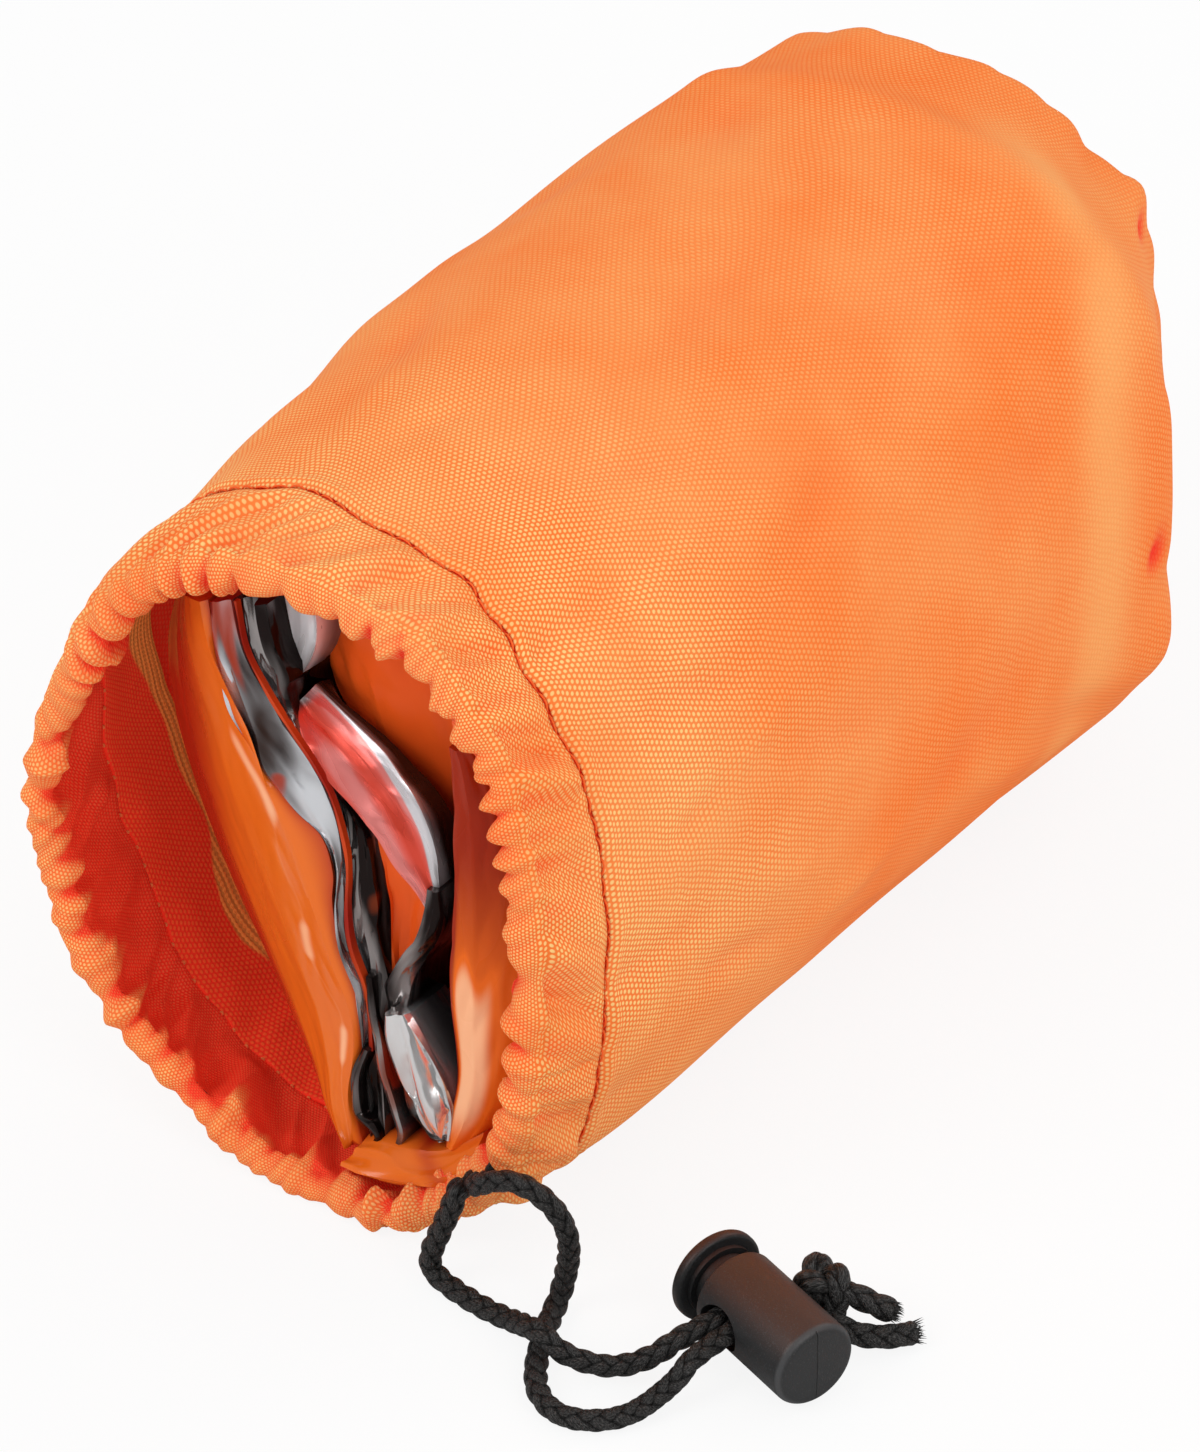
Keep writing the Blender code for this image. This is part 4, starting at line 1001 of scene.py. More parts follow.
def knot_line():
    """The line of an overhand knot, as a tight trefoil."""
    turn = np.linspace(0, math.tau, 90)
    flat = (KNOT / 2 - 0.0012) / 3
    tall = KNOT_HEIGHT / 2 - 0.0013
    loop = np.stack([(np.sin(turn) + 2 * np.sin(2 * turn)) * flat, (np.cos(turn) - 2 * np.cos(2 * turn)) * flat,
                     -np.sin(3 * turn) * tall], 1)
    beside = lock_place() @ Vector((0, LOCK_DIAMETER / 2 + GAP + KNOT / 2, HOLE_FROM_CAP))
    turned = Matrix.Rotation(math.radians(LOCK_HEADING + 40), 3, "Z")
    centre = Vector((beside.x, beside.y, KNOT_HEIGHT / 2 + GAP))
    return np.array([centre + turned @ Vector(point) for point in loop]), centre


class SetCamera(bpy.types.Operator):
    """Sets the camera to the photograph's viewing angle"""

    bl_idname = "bivvy_bag.set_camera"
    bl_label = "Camera"

    def execute(self, context):
        data = bpy.data.cameras.new("camera")
        data.lens = CAMERA_LENS
        data.sensor_width = 36.0
        data.clip_start = 0.05
        data.clip_end = 20.0
        way = Vector(CAMERA_WAY).normalized()
        context.scene.camera = aimed("camera", data, Vector(CAMERA_AIM) + way * CAMERA_DISTANCE, -way)
        return {"FINISHED"}


def aimed(name, data, place, way):
    """A camera or a lamp at a place, looking this way."""
    made = bpy.data.objects.new(name, data)
    bpy.context.scene.collection.objects.link(made)
    made.location = place
    made.rotation_mode = "QUATERNION"
    made.rotation_quaternion = way.to_track_quat("-Z", "Y")
    return made


class AddCordLock(bpy.types.Operator):
    """Models the barrel and the plunger of the cord lock"""

    bl_idname = "bivvy_bag.add_cord_lock"
    bl_label = "Cord lock"

    def execute(self, context):
        colour = settings().plastic
        barrel = self.barrel()
        # The barrel's and the plunger's second colours are the painted light on their upper sides
        barrel.data.materials.append(plastic_finish("lock_barrel_plastic", colour, (0.060, 0.026, 0.018), True))
        plunger = self.plunger()
        darker = plastic_finish("lock_plunger_plastic", scaled(colour, 0.6), (0.05, 0.016, 0.010))
        plunger.data.materials.append(darker)
        for piece, node, body in ((barrel, "lock_barrel", "cord_lock"), (plunger, "lock_plunger", "plunger")):
            piece.data.transform(lock_place())
            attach(piece, body)
            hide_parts(node)
        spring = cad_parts["lock_spring"]
        spring.data.materials.clear()
        spring.data.materials.append(steel_finish("spring_steel"))
        return {"FINISHED"}

    def barrel(self):
        barrel = new_cylinder("cord_lock_barrel", 96, LOCK_DIAMETER / 2, -CAP_CROWN, LOCK_LENGTH)
        start_editing(barrel)
        select_where(barrel, "FACE", lambda face: face.normal.z > 0.9)
        bpy.ops.mesh.inset(thickness=LOCK_WALL)
        bpy.ops.mesh.extrude_region_move(TRANSFORM_OT_translate={"value": (0, 0, LOCK_WALL - LOCK_LENGTH)})
        for height, rounding, segments in ((-CAP_CROWN, 0.0012, 7), (LOCK_LENGTH, 0.00035, 3)):
            select_where(barrel, "EDGE", lambda edge: all(abs(v.co.z - height) < 1e-6 for v in edge.verts))
            bpy.ops.mesh.bevel(offset=rounding, segments=segments, affect="EDGES")
        select_where(barrel, "FACE", lambda face: face.normal.z < -0.99
                     and abs(face.calc_center_median().z + CAP_CROWN) < 1e-5)
        for sink in (0.00006, 0.00005, 0.00003):
            bpy.ops.mesh.inset(thickness=0.0012)
            bpy.ops.transform.translate(value=(0, 0, -sink))
        bpy.ops.object.mode_set(mode="OBJECT")
        cutter = new_cylinder("cord_hole", 48, 1.0, -LOCK_DIAMETER, LOCK_DIAMETER)
        half_hole = (HOLE_HEIGHT / 2 + HOLE_EASE, HOLE_HALF_LENGTH + HOLE_EASE, 1.0, 1.0)
        cutter.data.transform(Matrix.Diagonal(half_hole))
        cutter.data.transform(Matrix.Rotation(math.radians(90), 4, "X"))
        cutter.data.transform(Matrix.Translation((0, 0, HOLE_FROM_CAP)))
        cut_away(barrel, cutter)
        smooth_by_angle(barrel, 40)
        return barrel

    def plunger(self):
        shaft = LOCK_DIAMETER / 2 - LOCK_WALL - GAP
        near = HOLE_FROM_CAP - HOLE_HALF_LENGTH
        far = HOLE_FROM_CAP + HOLE_HALF_LENGTH + PLUNGER_TRAVEL
        under = LOCK_LENGTH + PLUNGER_TRAVEL + GAP + STEP_THICKNESS
        tip = near - PLUNGER_WEB
        plunger = new_cylinder("cord_lock_plunger", 96, shaft, tip, under - STEP_THICKNESS)
        start_editing(plunger)
        for wide, tall in ((STEP_DIAMETER / 2 / shaft, STEP_THICKNESS),
                           (FLANGE_DIAMETER / STEP_DIAMETER, FLANGE_THICKNESS)):
            select_where(plunger, "FACE", lambda face: face.normal.z > 0.9
                         and face.calc_center_median().z > tip + 0.001)
            bpy.ops.mesh.extrude_region_move(TRANSFORM_OT_translate={"value": (0, 0, 0)})
            bpy.ops.transform.resize(value=(wide, wide, 1.0), center_override=(0, 0, 0))
            bpy.ops.mesh.extrude_region_move(TRANSFORM_OT_translate={"value": (0, 0, tall)})
        rim = FLANGE_DIAMETER / 2
        select_where(plunger, "EDGE",
                     lambda edge: all(abs(math.hypot(v.co.x, v.co.y) - rim) < 1e-5 for v in edge.verts)
                     and abs(edge.verts[0].co.z - edge.verts[1].co.z) < 1e-6)
        bpy.ops.mesh.bevel(offset=0.0006, segments=5, affect="EDGES")
        top = under + FLANGE_THICKNESS
        select_where(plunger, "FACE", lambda face: face.normal.z > 0.99
                     and abs(face.calc_center_median().z - top) < 1e-5)
        bpy.ops.mesh.inset(thickness=0.0012)
        bpy.ops.mesh.inset(thickness=0.0003)
        bpy.ops.transform.translate(value=(0, 0, -0.0003))
        bpy.ops.object.mode_set(mode="OBJECT")
        deselect_all()
        bpy.ops.mesh.primitive_cube_add(size=1.0, location=(0, 0, (near + far) / 2),
                                        scale=(SLOT_HEIGHT, LOCK_DIAMETER, far - near))
        cutter = bpy.context.active_object
        bpy.ops.object.transform_apply(location=True, rotation=True, scale=True)
        cut_away(plunger, cutter)
        smooth_by_angle(plunger, 35)
        return plunger


def new_cylinder(name, sides, radius, bottom, top):
    """A capped cylinder along Z, its place in its mesh, alone selected and active."""
    deselect_all()
    bpy.ops.mesh.primitive_cylinder_add(vertices=sides, radius=radius, depth=top - bottom,
                                        location=(0, 0, (top + bottom) / 2))
    made = bpy.context.active_object
    made.name = name
    made.data.name = name
    bpy.ops.object.transform_apply(location=True, rotation=True, scale=True)
    return made


def start_editing(piece):
    select_only(piece)
    bpy.ops.object.mode_set(mode="EDIT")
    bpy.ops.mesh.select_all(action="DESELECT")


def select_where(piece, kind, wanted):
    """Select the faces or edges that pass a test, and nothing else."""
    bpy.ops.mesh.select_mode(type=kind)
    bpy.ops.mesh.select_all(action="DESELECT")
    bm = bmesh.from_edit_mesh(piece.data)
    bm.normal_update()
    for item in bm.faces if kind == "FACE" else bm.edges:
        if wanted(item):
            item.select_set(True)
    bmesh.update_edit_mesh(piece.data)


def cut_away(piece, cutter):
    hole = piece.modifiers.new("hole", "BOOLEAN")
    hole.object = cutter
    hole.operation = "DIFFERENCE"
    hole.solver = "EXACT"
    apply_modifiers(piece)
    bpy.data.objects.remove(cutter)


class AddDrawcord(bpy.types.Operator):
    """Lays the braided drawcord: two free legs, the knot that joins them, its tails, and the cord in the hem"""

    bl_idname = "bivvy_bag.add_drawcord"
    bl_label = "Drawcord"

    def execute(self, context):
        black = cord_finish("drawcord_yarn", settings().cord)
        knot_points, centre = knot_line()
        on_cord = [braided("drawcord_knot", knot_points, KNOT_CORD, black), bpy.data.objects["cord_lock_barrel"],
                   bpy.data.objects["cord_lock_plunger"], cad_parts["lock_spring"]]
        on_cord.append(self.tail("drawcord_tail_left", LEFT_TAIL, centre, black, 1))
        on_cord.append(self.tail("drawcord_tail_right", RIGHT_TAIL, centre, black, 5))
        for name, exit_point, free, side, pieces in (("drawcord_leg_left", LEFT_EXIT, LEFT_LEG, 1, on_cord),
                                                     ("drawcord_leg_right", RIGHT_EXIT, RIGHT_LEG, -1, [])):
            points = leg_points(exit_point, free, side)
            leg = braided(name, points, CORD, black)
        braided("drawcord_in_hem", self.hidden_points(), CORD * HIDDEN_CORD, black, columns=16, step=0.0007)
        return {"FINISHED"}

    def hidden_points(self):
        """Around the mouth in its channel, from one way out to the other."""
        around = 360 - 12
        turn = np.radians([EXIT_TURN - 6 - around * step / 160 for step in range(161)])
        out, forward = lip_shift(turn)
        x, z = oval(MOUTH[0] + out, MOUTH[1] + out, SQUARENESS[0], turn)
        ring = np.stack([x + MOUTH_MIDDLE[0] + MOUTH_BOW * (z / MOUTH[1]) ** 2, CORD_Y - forward,
                         np.maximum(MOUTH_MIDDLE[1] + z, CORD / 2)], 1)
        inward = np.array([0, 0.0022, 0])
        return np.vstack([[LEFT_EXIT], [LEFT_EXIT + inward], ring[4:-4], [RIGHT_EXIT + inward], [RIGHT_EXIT]])

    def tail(self, name, points, centre, black, seed):
        """A cut tail: its braid opens into loose filaments at the end."""
        way = (Vector(points[0]) - centre).normalized()
        points = [tuple(centre + way * (KNOT_HEIGHT / 2 - 0.001)), *points]
        tail = braided(name, points, TAIL_CORD, black, taper=0.12)
        end = Vector(points[-1])
        ahead = (end - Vector(points[-2])).normalized()
        sideways = ahead.cross(Vector((0, 0, 1))).normalized()
        upwards = sideways.cross(ahead)
        bm = bmesh.new()
        bm.from_mesh(tail.data)
        for step in range(FILAMENTS):
            turn = step * 2.4 + seed
            out = 0.0013 * math.sqrt((step + 0.5) / FILAMENTS)
            root = end + (sideways * math.cos(turn) + upwards * math.sin(turn)) * out - ahead * 0.0005
            reach = 0.0014 + 0.0012 * noise.noise(Vector((step * 1.9, seed, 0.3)))
            spread = (sideways * math.cos(turn * 1.3) + upwards * math.sin(turn * 1.3)) * out * 0.5
            tip = root + ahead * reach + spread
            tip.z = max(tip.z, 0.0002)
            ring = [root + (sideways * math.cos(a) + upwards * math.sin(a)) * 0.00022 for a in (0, 2.09, 4.19)]
            low = [bm.verts.new(place) for place in ring]
            high = bm.verts.new(tip)
            for side in range(3):
                bm.faces.new((low[side], low[(side + 1) % 3], high))
            bm.faces.new((low[2], low[1], low[0]))
        bm.to_mesh(tail.data)
        bm.free()
        return tail


class AddSackCloth(bpy.types.Operator):
    """Lofts the stuff sack's side and base, with their folds, and the seams inside"""

    bl_idname = "bivvy_bag.add_sack_cloth"
    bl_label = "Sack cloth"

    def execute(self, context):
        own = settings()
        outside = cloth_finish("sack_cloth", own, 0.95)
        # Inside of the cloth, in painted shade and glow
        inside = cloth_finish("sack_inside_painted_shade", own, 0.7, fade=False, inside=True)
        turns = even_turns(own.across_points)
        y = STITCH_Y + GAP + np.concatenate([np.arange(*rows) for rows in SIDE_ROWS] + [SIDE_END_ROWS])
        grid, hollow = sack_surface(turns, y)
        behind_line = (y - STITCH_Y)[:, None]
        crease = stitch_crease(turns, behind_line) - 0.0004 * np.exp(-(((behind_line - 0.0019) / 0.001) ** 2))
        edge = np.clip((y[:, None] - (BASE_Y - BASE_ROUND)) / BASE_ROUND, 0, 1)
        grid = self.draw_in(grid, crease + SEAM_NARROWING * (1 - np.sqrt(1 - edge ** 2)))
        # Painted shade along the stitch line's crease
        hollow = hollow + 0.25 * np.exp(-behind_line / 0.0003)
        mesh = skin("sack_side", grid, cloth_uv(turns, y), hollow)
        thicken(add_piece("sack_side", mesh, [outside, inside], "sack", "side_panel", "side_panel"))
        self.base(turns, grid[-1], [cloth_finish("base_cloth", own, 0.3, fade=False), inside])
        self.base_seam(inside)
        self.side_seam(inside)
        return {"FINISHED"}

    def draw_in(self, grid, inward):
        """Move each row towards its own middle, and keep it above the table."""
        moved = grid - outward(grid) * inward[..., None]
        moved[..., 2] = np.maximum(moved[..., 2], np.minimum(grid[..., 2], 0.0001))
        return moved

    def base(self, turns, rim, finishes):
        """The end panel: a soft cushion of cloth inside the ring of the seam."""
        middle = rim.mean(0)
        rings = []
        for step in range(BASE_RINGS):
            share = 1 - step / BASE_RINGS
            ring = middle + (rim - middle) * (share * 0.985)
            puff = BASE_PUFF * (1 - share ** 2) - 0.0011 * math.exp(-((1 - share) / 0.035) ** 2)
            pucker = 0.0005 * (lobes(turns, 31, 9, 1.2) - 0.5) * math.exp(-(1 - share) / 0.10)
            ring[:, 1] = BASE_Y - BASE_PUFF + puff + pucker
            rings.append(ring)
        grid = np.array(rings)
        uv = np.concatenate([grid[..., (0, 2)], grid[:, :1, (0, 2)]], 1)
        share = np.linspace(0, 1, BASE_RINGS)[:, None] + 0 * grid[..., 0]
        # Painted shade around the base, by its seam
        mesh = skin("sack_base", grid, uv, np.exp(-share / 0.05) * 0.8)
        bm = bmesh.new()
        bm.from_mesh(mesh)
        bm.verts.ensure_lookup_table()
        last = range(grid[..., 0].size - len(turns), grid[..., 0].size)
        bm.faces.new([bm.verts[index] for index in reversed(last)]).smooth = True
        bmesh.ops.recalc_face_normals(bm, faces=bm.faces)
        if sum(face.normal.y for face in bm.faces) < 0:
            bmesh.ops.reverse_faces(bm, faces=bm.faces)
        bm.to_mesh(mesh)
        bm.free()
        thicken(add_piece("sack_base", mesh, finishes, "sack", "base_panel", "base_panel"))

    def base_seam(self, inside):
        """The raw seam edges inside, around the base."""
        turns = even_turns(180)
        y = np.linspace(BASE_Y - 0.0105, BASE_Y - 0.0025, 9)
        rings = []
        for inset, order in ((0.0022, y), (0.0034, y[::-1])):
            grid, hollow = sack_surface(turns, order, inset)
            free = smooth_step(BASE_Y - 0.006, BASE_Y - 0.0105, order)[:, None, None]
            wave = 0.0004 * lobes(turns, 60, 3)[None, :, None] * free
            rings.append(grid - (grid - grid.mean(1, keepdims=True)) / 0.045 * wave)
        grid = np.vstack(rings)
        uv = cloth_uv(turns, np.concatenate([y, y[::-1] + 0.01]))
        mesh = skin("base_seam", grid, np.vstack([uv, uv[:1]]), np.full(grid.shape[:2], 0.2), along=True)
        tidy_normals(mesh)
        add_piece("base_seam_edges", mesh, inside, "sack", "base_seam", "base_seam")

    def side_seam(self, inside):
        """The raw seam edges inside, along the right-hand side."""
        y = np.linspace(STITCH_Y + 0.021, TAPER_Y - 0.009, 70)
        turn = np.radians(np.linspace(SEAM_TURN - 4.2, SEAM_TURN + 4.2, 9))
        outer, hollow = sack_surface(turn, y, 0.0013)
        inner, hollow = sack_surface(turn[::-1], y, 0.0025)
        ruffle = 0.0003 * np.sin(y * 900)[:, None, None] * np.array([0, 0, 1.0])
        strip = np.concatenate([outer, inner + ruffle], 1)
        uv = np.stack(np.meshgrid(np.linspace(0, 0.02, strip.shape[1] + 1), y), -1)
        mesh = skin("side_seam", strip, uv, np.full(strip.shape[:2], 0.2), caps=True)
        tidy_normals(mesh)
        add_piece("side_seam_edges", mesh, inside, "sack", "side_seam", "side_seam")


def hem_shape(turn, share, angle):
    """The hem's plain shape at one ring. angle goes from 0 outside over the lip to 180 inside."""
    narrow = along_table(NARROWING, share) if share < 1 else 1.0
    if share < 1:
        thick = along_table(THICKENING, share)
        out = mix(LIP_THICKNESS / 2, LIP_RADIUS, share)
        out = out if angle == 0 else out - mix(HEM_EDGE, 2 * LIP_RADIUS, thick)
        y = mix(STITCH_Y, CORD_Y, share) + stitch_back(turn) * (1 - share)
    else:
        out = LIP_RADIUS * math.cos(math.radians(angle))
        y = CORD_Y - LIP_RADIUS * math.sin(math.radians(angle)) + 0 * turn
    half_width = mix(SHOULDER[0] - LIP_THICKNESS / 2, MOUTH[0], narrow) + out
    half_height = mix(SHOULDER[1] - LIP_THICKNESS / 2, MOUTH[1], narrow) + out
    up = mix(SHOULDER[1] - FLATTENED, MOUTH_MIDDLE[1], narrow)
    return half_width, half_height, up, mix(SHOULDER_BOW, MOUTH_BOW, narrow), y


class AddGatheredHem(bpy.types.Operator):
    """Lofts the gathered hem around the drawcord, its selvedge inside, and the stitches"""

    bl_idname = "bivvy_bag.add_gathered_hem"
    bl_label = "Gathered hem"

    def execute(self, context):
        own = settings()
        turns = even_turns(HEM_COLUMNS)
        grid, hollow, length = self.rings(turns, own.gather_depth)
        uv = cloth_uv(turns, length) * 1.05
        uv = np.vstack([uv, uv[-1:] + (0, 0.002)])
        mesh = skin("gathered_hem", grid, uv, hollow, along=True)
        self.tighten_weave(mesh)
        tidy_normals(mesh)
        cloth = cloth_finish("hem_cloth", own, 0.92, fade=False)
        add_piece("gathered_hem", mesh, cloth, "sack", "drawcord_hem", "drawcord_hem")
        self.selvedge(own)
        count = round(route_length(np.vstack([grid[0], grid[0, :1]])) / own.stitch_length)
        red = thread_finish("hem_thread", own.stitches)
        pale = thread_finish("bobbin_thread", BOBBIN_THREAD)
        self.stitches("hem_stitches", grid[0], count, red, *OUTER_STITCH, "hem_stitching")
        self.stitches("bobbin_stitches", grid[-1], count, pale, *INNER_STITCH)
        return {"FINISHED"}

    def tighten_weave(self, mesh):
        """A denser weave where the cloth is gathered tight over the lip."""
        row = np.arange(len(mesh.polygons)) // HEM_COLUMNS
        lip = len(HEM_OUTSIDE)
        scale = np.where((row > lip + 3) & (row < 2 * lip + 22), LIP_WEAVE, 1.0)
        places = np.zeros(len(mesh.loops) * 2)
        mesh.uv_layers.active.data.foreach_get("uv", places)
        mesh.uv_layers.active.data.foreach_set("uv", places * np.repeat(scale, 8)[:len(places)])

    def rings(self, turns, depth):
        """The hem's rings with their gathers, their painted shade, and the length along the cloth."""
        rows = [(share, 0.0) for share in HEM_OUTSIDE]
        rows += [(1.0, angle) for angle in np.linspace(0, 180, 23)]
        rows += [(share, 180.0) for share in reversed(HEM_OUTSIDE)]
        height = np.clip(0.95 + 1.0 * wander(turns, 5, 5, 9), 0.25, 1.8)
        slant = 9.0 * wander(turns, 11, 3, 4)
        twist = 0.10 * wander(turns, 31, 4, 6)
        out, forward = lip_shift(turns)
        fine = lobes(turns, 27, 5, 1.3)
        long = CORD_Y - STITCH_Y - stitch_back(turns)
        grid, hollow = [], []
        for share, angle in rows:
            half_width, half_height, up, bow, y = hem_shape(turns, share, angle)
            behind_lip = -(1 - share) * long
            side, front = math.cos(math.radians(angle)), math.sin(math.radians(angle))
            inner = 1.0 if side < 0 else -1.0
            roll = angle / 180 - 0.5 if share == 1 else inner / 2
            lean = turns + slant * behind_lip * inner + twist * roll
            crest = lobes(lean, GATHERS, 2, 3.0, 0.5) ** mix(1.4, 0.9, smooth_step(0.4, -0.4, side))
            small = lobes(turns - slant * behind_lip * inner - 1.6 * twist * roll, 83, 6, 3.0, 0.5) - 0.6
            fade = np.exp(-((behind_lip / (0.0078 if side < 0 else 0.0070)) ** 1.2))
            gather = depth * height * (crest - 0.55) * fade * mix(0.55, 1.5, smooth_step(0.4, -0.7, side))
            gather = np.maximum(gather + 0.00045 * small * fade, LIP_ROOM - LIP_RADIUS)
            broad = lobes(turns + 6.0 * behind_lip, 17, 8, 1.5, 0.3)
            long_pleat = lobes(turns + 9.0 * behind_lip, 33, 15, 2.4, 0.6)
            stand = gather * side
            if share < 1:
                pleat = 0.0014 * (fine - 0.6) + 0.0024 * (broad - 0.6) + 0.0016 * (long_pleat - 0.5)
                pleat = pleat * smooth_step(0.0, 0.3, share) * smooth_step(1.3, 0.7, share)
                crease = stitch_crease(turns, share * -long)
                stand = stand + pleat - (crease if side > 0 else 0.4 * crease * -1)
            stand = stand + out * share ** 1.5 + pressed(turns, y, FULLNESS) * (1 - share)
            x, z = oval(half_width + stand, half_height + stand, SQUARENESS[0], turns)
            floor = 0.0002 + (0.0008 if side < -0.5 else 0.0)
            across = MOUTH_MIDDLE[0] + x + bow * (z / half_height) ** 2
            along = y - front * gather * 1.1 - forward * share ** 1.5
            grid.append(np.stack([across, along, settle(up + z, floor)], -1))
            valley = np.clip(1 - crest * 1.4, 0, 1)
            # Painted shade outside: darker in the valleys of the gathers and between pleats
            if side > 0 and share < 1:
                shade = 0.3 * valley * fade
                shade = shade + 0.22 * np.clip(0.5 - long_pleat, 0, 1) * smooth_step(0.05, 0.3, share)
            else:
                # Painted shade inside: from lit orange over the lip to red within, in tongues that reach further
                # in on the crests, and darker in the valleys
                reach = behind_lip if share < 1 else (angle - 180) / 180 * math.pi * LIP_RADIUS
                tongue = 0.0066 * (crest - 0.60) * np.minimum(height, 1.3) + 0.0012 * small
                tongue = tongue + 0.0016 * wander(turns, 22, 5, 7)
                shade = smooth_step(-0.0024, 0.0054, reach - tongue)
                shade = shade + 0.35 * valley * smooth_step(-0.004, 0.0, reach)
                shade = shade + (0.26 - 0.2 * small) * smooth_step(-0.009, -0.004, reach)
            hollow.append(np.clip(shade, 0, 1))
        grid = np.array(grid)
        steps = np.linalg.norm(np.diff(grid, axis=0), axis=-1).mean(1)
        return grid, np.array(hollow), np.concatenate([[0], np.cumsum(steps)])

    def selvedge(self, own):
        """The turned-in cloth past the stitch line, and its pale woven edge."""
        turns = even_turns(420)
        back = stitch_back(turns)
        end = around_table(turns, STRIP_END) - back * 0.86 + 0.0004 * wander(turns, 9, 5, 11)
        start = around_table(turns, STRIP_START) - back * 0.88 - 0.0008 + 0.0002 * wander(turns, 6, 5, 17)
        along = np.linspace(0, 1, 60)[:, None]
        y = mix(STITCH_Y + 0.0001, end[None, :], along)
        flutter = 0.0005 * (1 + wander(turns, 3, 5, 7)) + 0.0003 * (1 + wander(turns, 8, 4, 13))
        flutter = smooth_step(0.4, 1.0, along) * flutter
        sheets = []
        for order, inset, lift in ((y, 0.0010, flutter), (y[::-1], mix(0.0015, 0.0019, along), flutter[::-1])):
            sheet, hollow = sack_surface(turns, order, inset)
            sheets.append(sheet - outward(sheet) * lift[..., None])
        pale = smooth_step(start[None, :] - 0.0002, start[None, :] + 0.0002, np.vstack([y, y[::-1]]))
        uv = cloth_uv(turns, np.concatenate([along[:, 0], along[::-1, 0]]) * 0.0195)
        mesh = skin("hem_selvedge", np.vstack(sheets), np.vstack([uv, uv[:1]]), pale, along=True)
        tidy_normals(mesh)
        add_piece("turned_in_edge", mesh, selvedge_finish("selvedge_cloth", own), "sack", "hem_selvedge",
                  "hem_selvedge")

    def stitches(self, name, ring, count, finish, first, last, lift, thick, *nodes):
        """A row of stitches along a ring, each of which shows from a first to a last share of its length."""
        loop = np.vstack([ring, ring[:1]])
        travelled = np.concatenate([[0], np.cumsum(np.linalg.norm(np.diff(loop, axis=0), axis=1))])
        middle = ring.mean(0)
        bm = bmesh.new()
        for step in range(count):
            places = []
            for share in np.linspace(first, last, 6):
                at = travelled[-1] * (step + share) / count
                point = np.array([np.interp(at, travelled, loop[:, axis]) for axis in range(3)])
                way = point - middle
                way[1] = 0
                rise = lift * math.sin(math.pi * (share - first) / (last - first)) ** 0.5
                point = point + way / np.linalg.norm(way) * rise
                point[2] = max(point[2], 0.0003)
                places.append(point)
            add_tube(bm, places, thick, 6)
        mesh = bpy.data.meshes.new(name)
        bm.to_mesh(mesh)
        bm.free()
        mesh.polygons.foreach_set("use_smooth", np.ones(len(mesh.polygons), bool))
        add_piece(name, mesh, finish, "sack", "hem_stitching", *nodes)


def add_tube(bm, places, radius, sides):
    """A short round thread with closed ends, added to a mesh."""
    across, upward, ahead = cord_frames(places)
    turns = [math.tau * step / sides for step in range(sides)]
    rows = []
    for point, side, up in zip(places, across, upward):
        ring = [point + radius * (side * math.cos(turn) + up * math.sin(turn)) for turn in turns]
        rows.append([bm.verts.new(place) for place in ring])
    for near, far in zip(rows, rows[1:]):
        for step in range(sides):
            after = (step + 1) % sides
            bm.faces.new((near[step], near[after], far[after], far[step]))
    bm.faces.new(rows[0][::-1])
    bm.faces.new(rows[-1])


# The folded film. Each fold is a row of lines from its top to its bottom, in millimetres.
SHEET_OUTER = (
    (-30.5, -66, 82), (-33.0, -65.5, 75), (-35.0, -65, 67), (-35.6, -63, 53.5), (-33.1, -62, 40.6),
    (-28.9, -63, 32.8), (-23.1, -65, 26.2), (-17.6, -67.5, 22.1), (-7.7, -72, 12.9), (-0.6, -76, 7.2),
    (5.5, -79, 6.6),
)
SHEET_CREASE = (
    (-18.5, -78, 87), (-16.1, -79, 80.9), (-13, -79, 74.9), (-9.9, -79, 68.9), (-7.2, -79, 61.2),
    (-4.4, -79, 55), (-1.7, -79, 48), (0.1, -79, 43.4), (2.5, -79, 36.9), (5.0, -79, 31.3),
    (6.0, -79, 26.6), (5.8, -79, 21.3), (4.8, -79, 15), (5.8, -79.5, 8),
)
SHEET_RIGHT = (
    (-16.9, -78, 88), (-15.6, -78, 77.7), (-14.3, -78, 71.7), (-10.8, -78, 66.5), (-7.9, -78, 63.3),
    (-3.5, -78, 59.2), (0.9, -78, 56.6), (2.6, -78, 51.4), (2.4, -78, 46.1), (3.3, -78, 39.7),
    (6.1, -78, 32.6), (6.7, -78, 23.5), (5.6, -78, 18.4), (5.2, -78, 14.2), (6.2, -78.5, 9.8),
    (7.3, -79, 7.0),
)
LEFT_FOIL_EDGE = (
    (-16.6, -78.4, 88), (-15.2, -78.4, 77.7), (-13.9, -78.4, 71.7), (-10.4, -78.4, 66.8),
    (-7.5, -78.4, 63.5), (-3.1, -78.4, 59.5), (1.2, -78.4, 56.8), (2.9, -78.4, 51.4), (2.7, -78.4, 46.1),
    (3.6, -78.4, 39.7), (6.4, -78.4, 32.6), (7.0, -78.4, 23.5), (5.9, -78.6, 18.4),
)
LEFT_FOIL_BACK = (
    (-13.2, -77.5, 89), (-11.9, -77.5, 81.8), (-8.7, -77.5, 76.6), (-5.2, -77.5, 72.2), (-0.9, -77.5, 67.4),
    (2.0, -77.5, 62.7), (3.9, -77.5, 56.1), (4.2, -77.5, 51.4), (3.9, -77.6, 45.7), (4.6, -77.8, 39.7),
    (7.2, -77.8, 32.6), (7.7, -77.8, 23.5), (6.6, -78.0, 18.4),
)
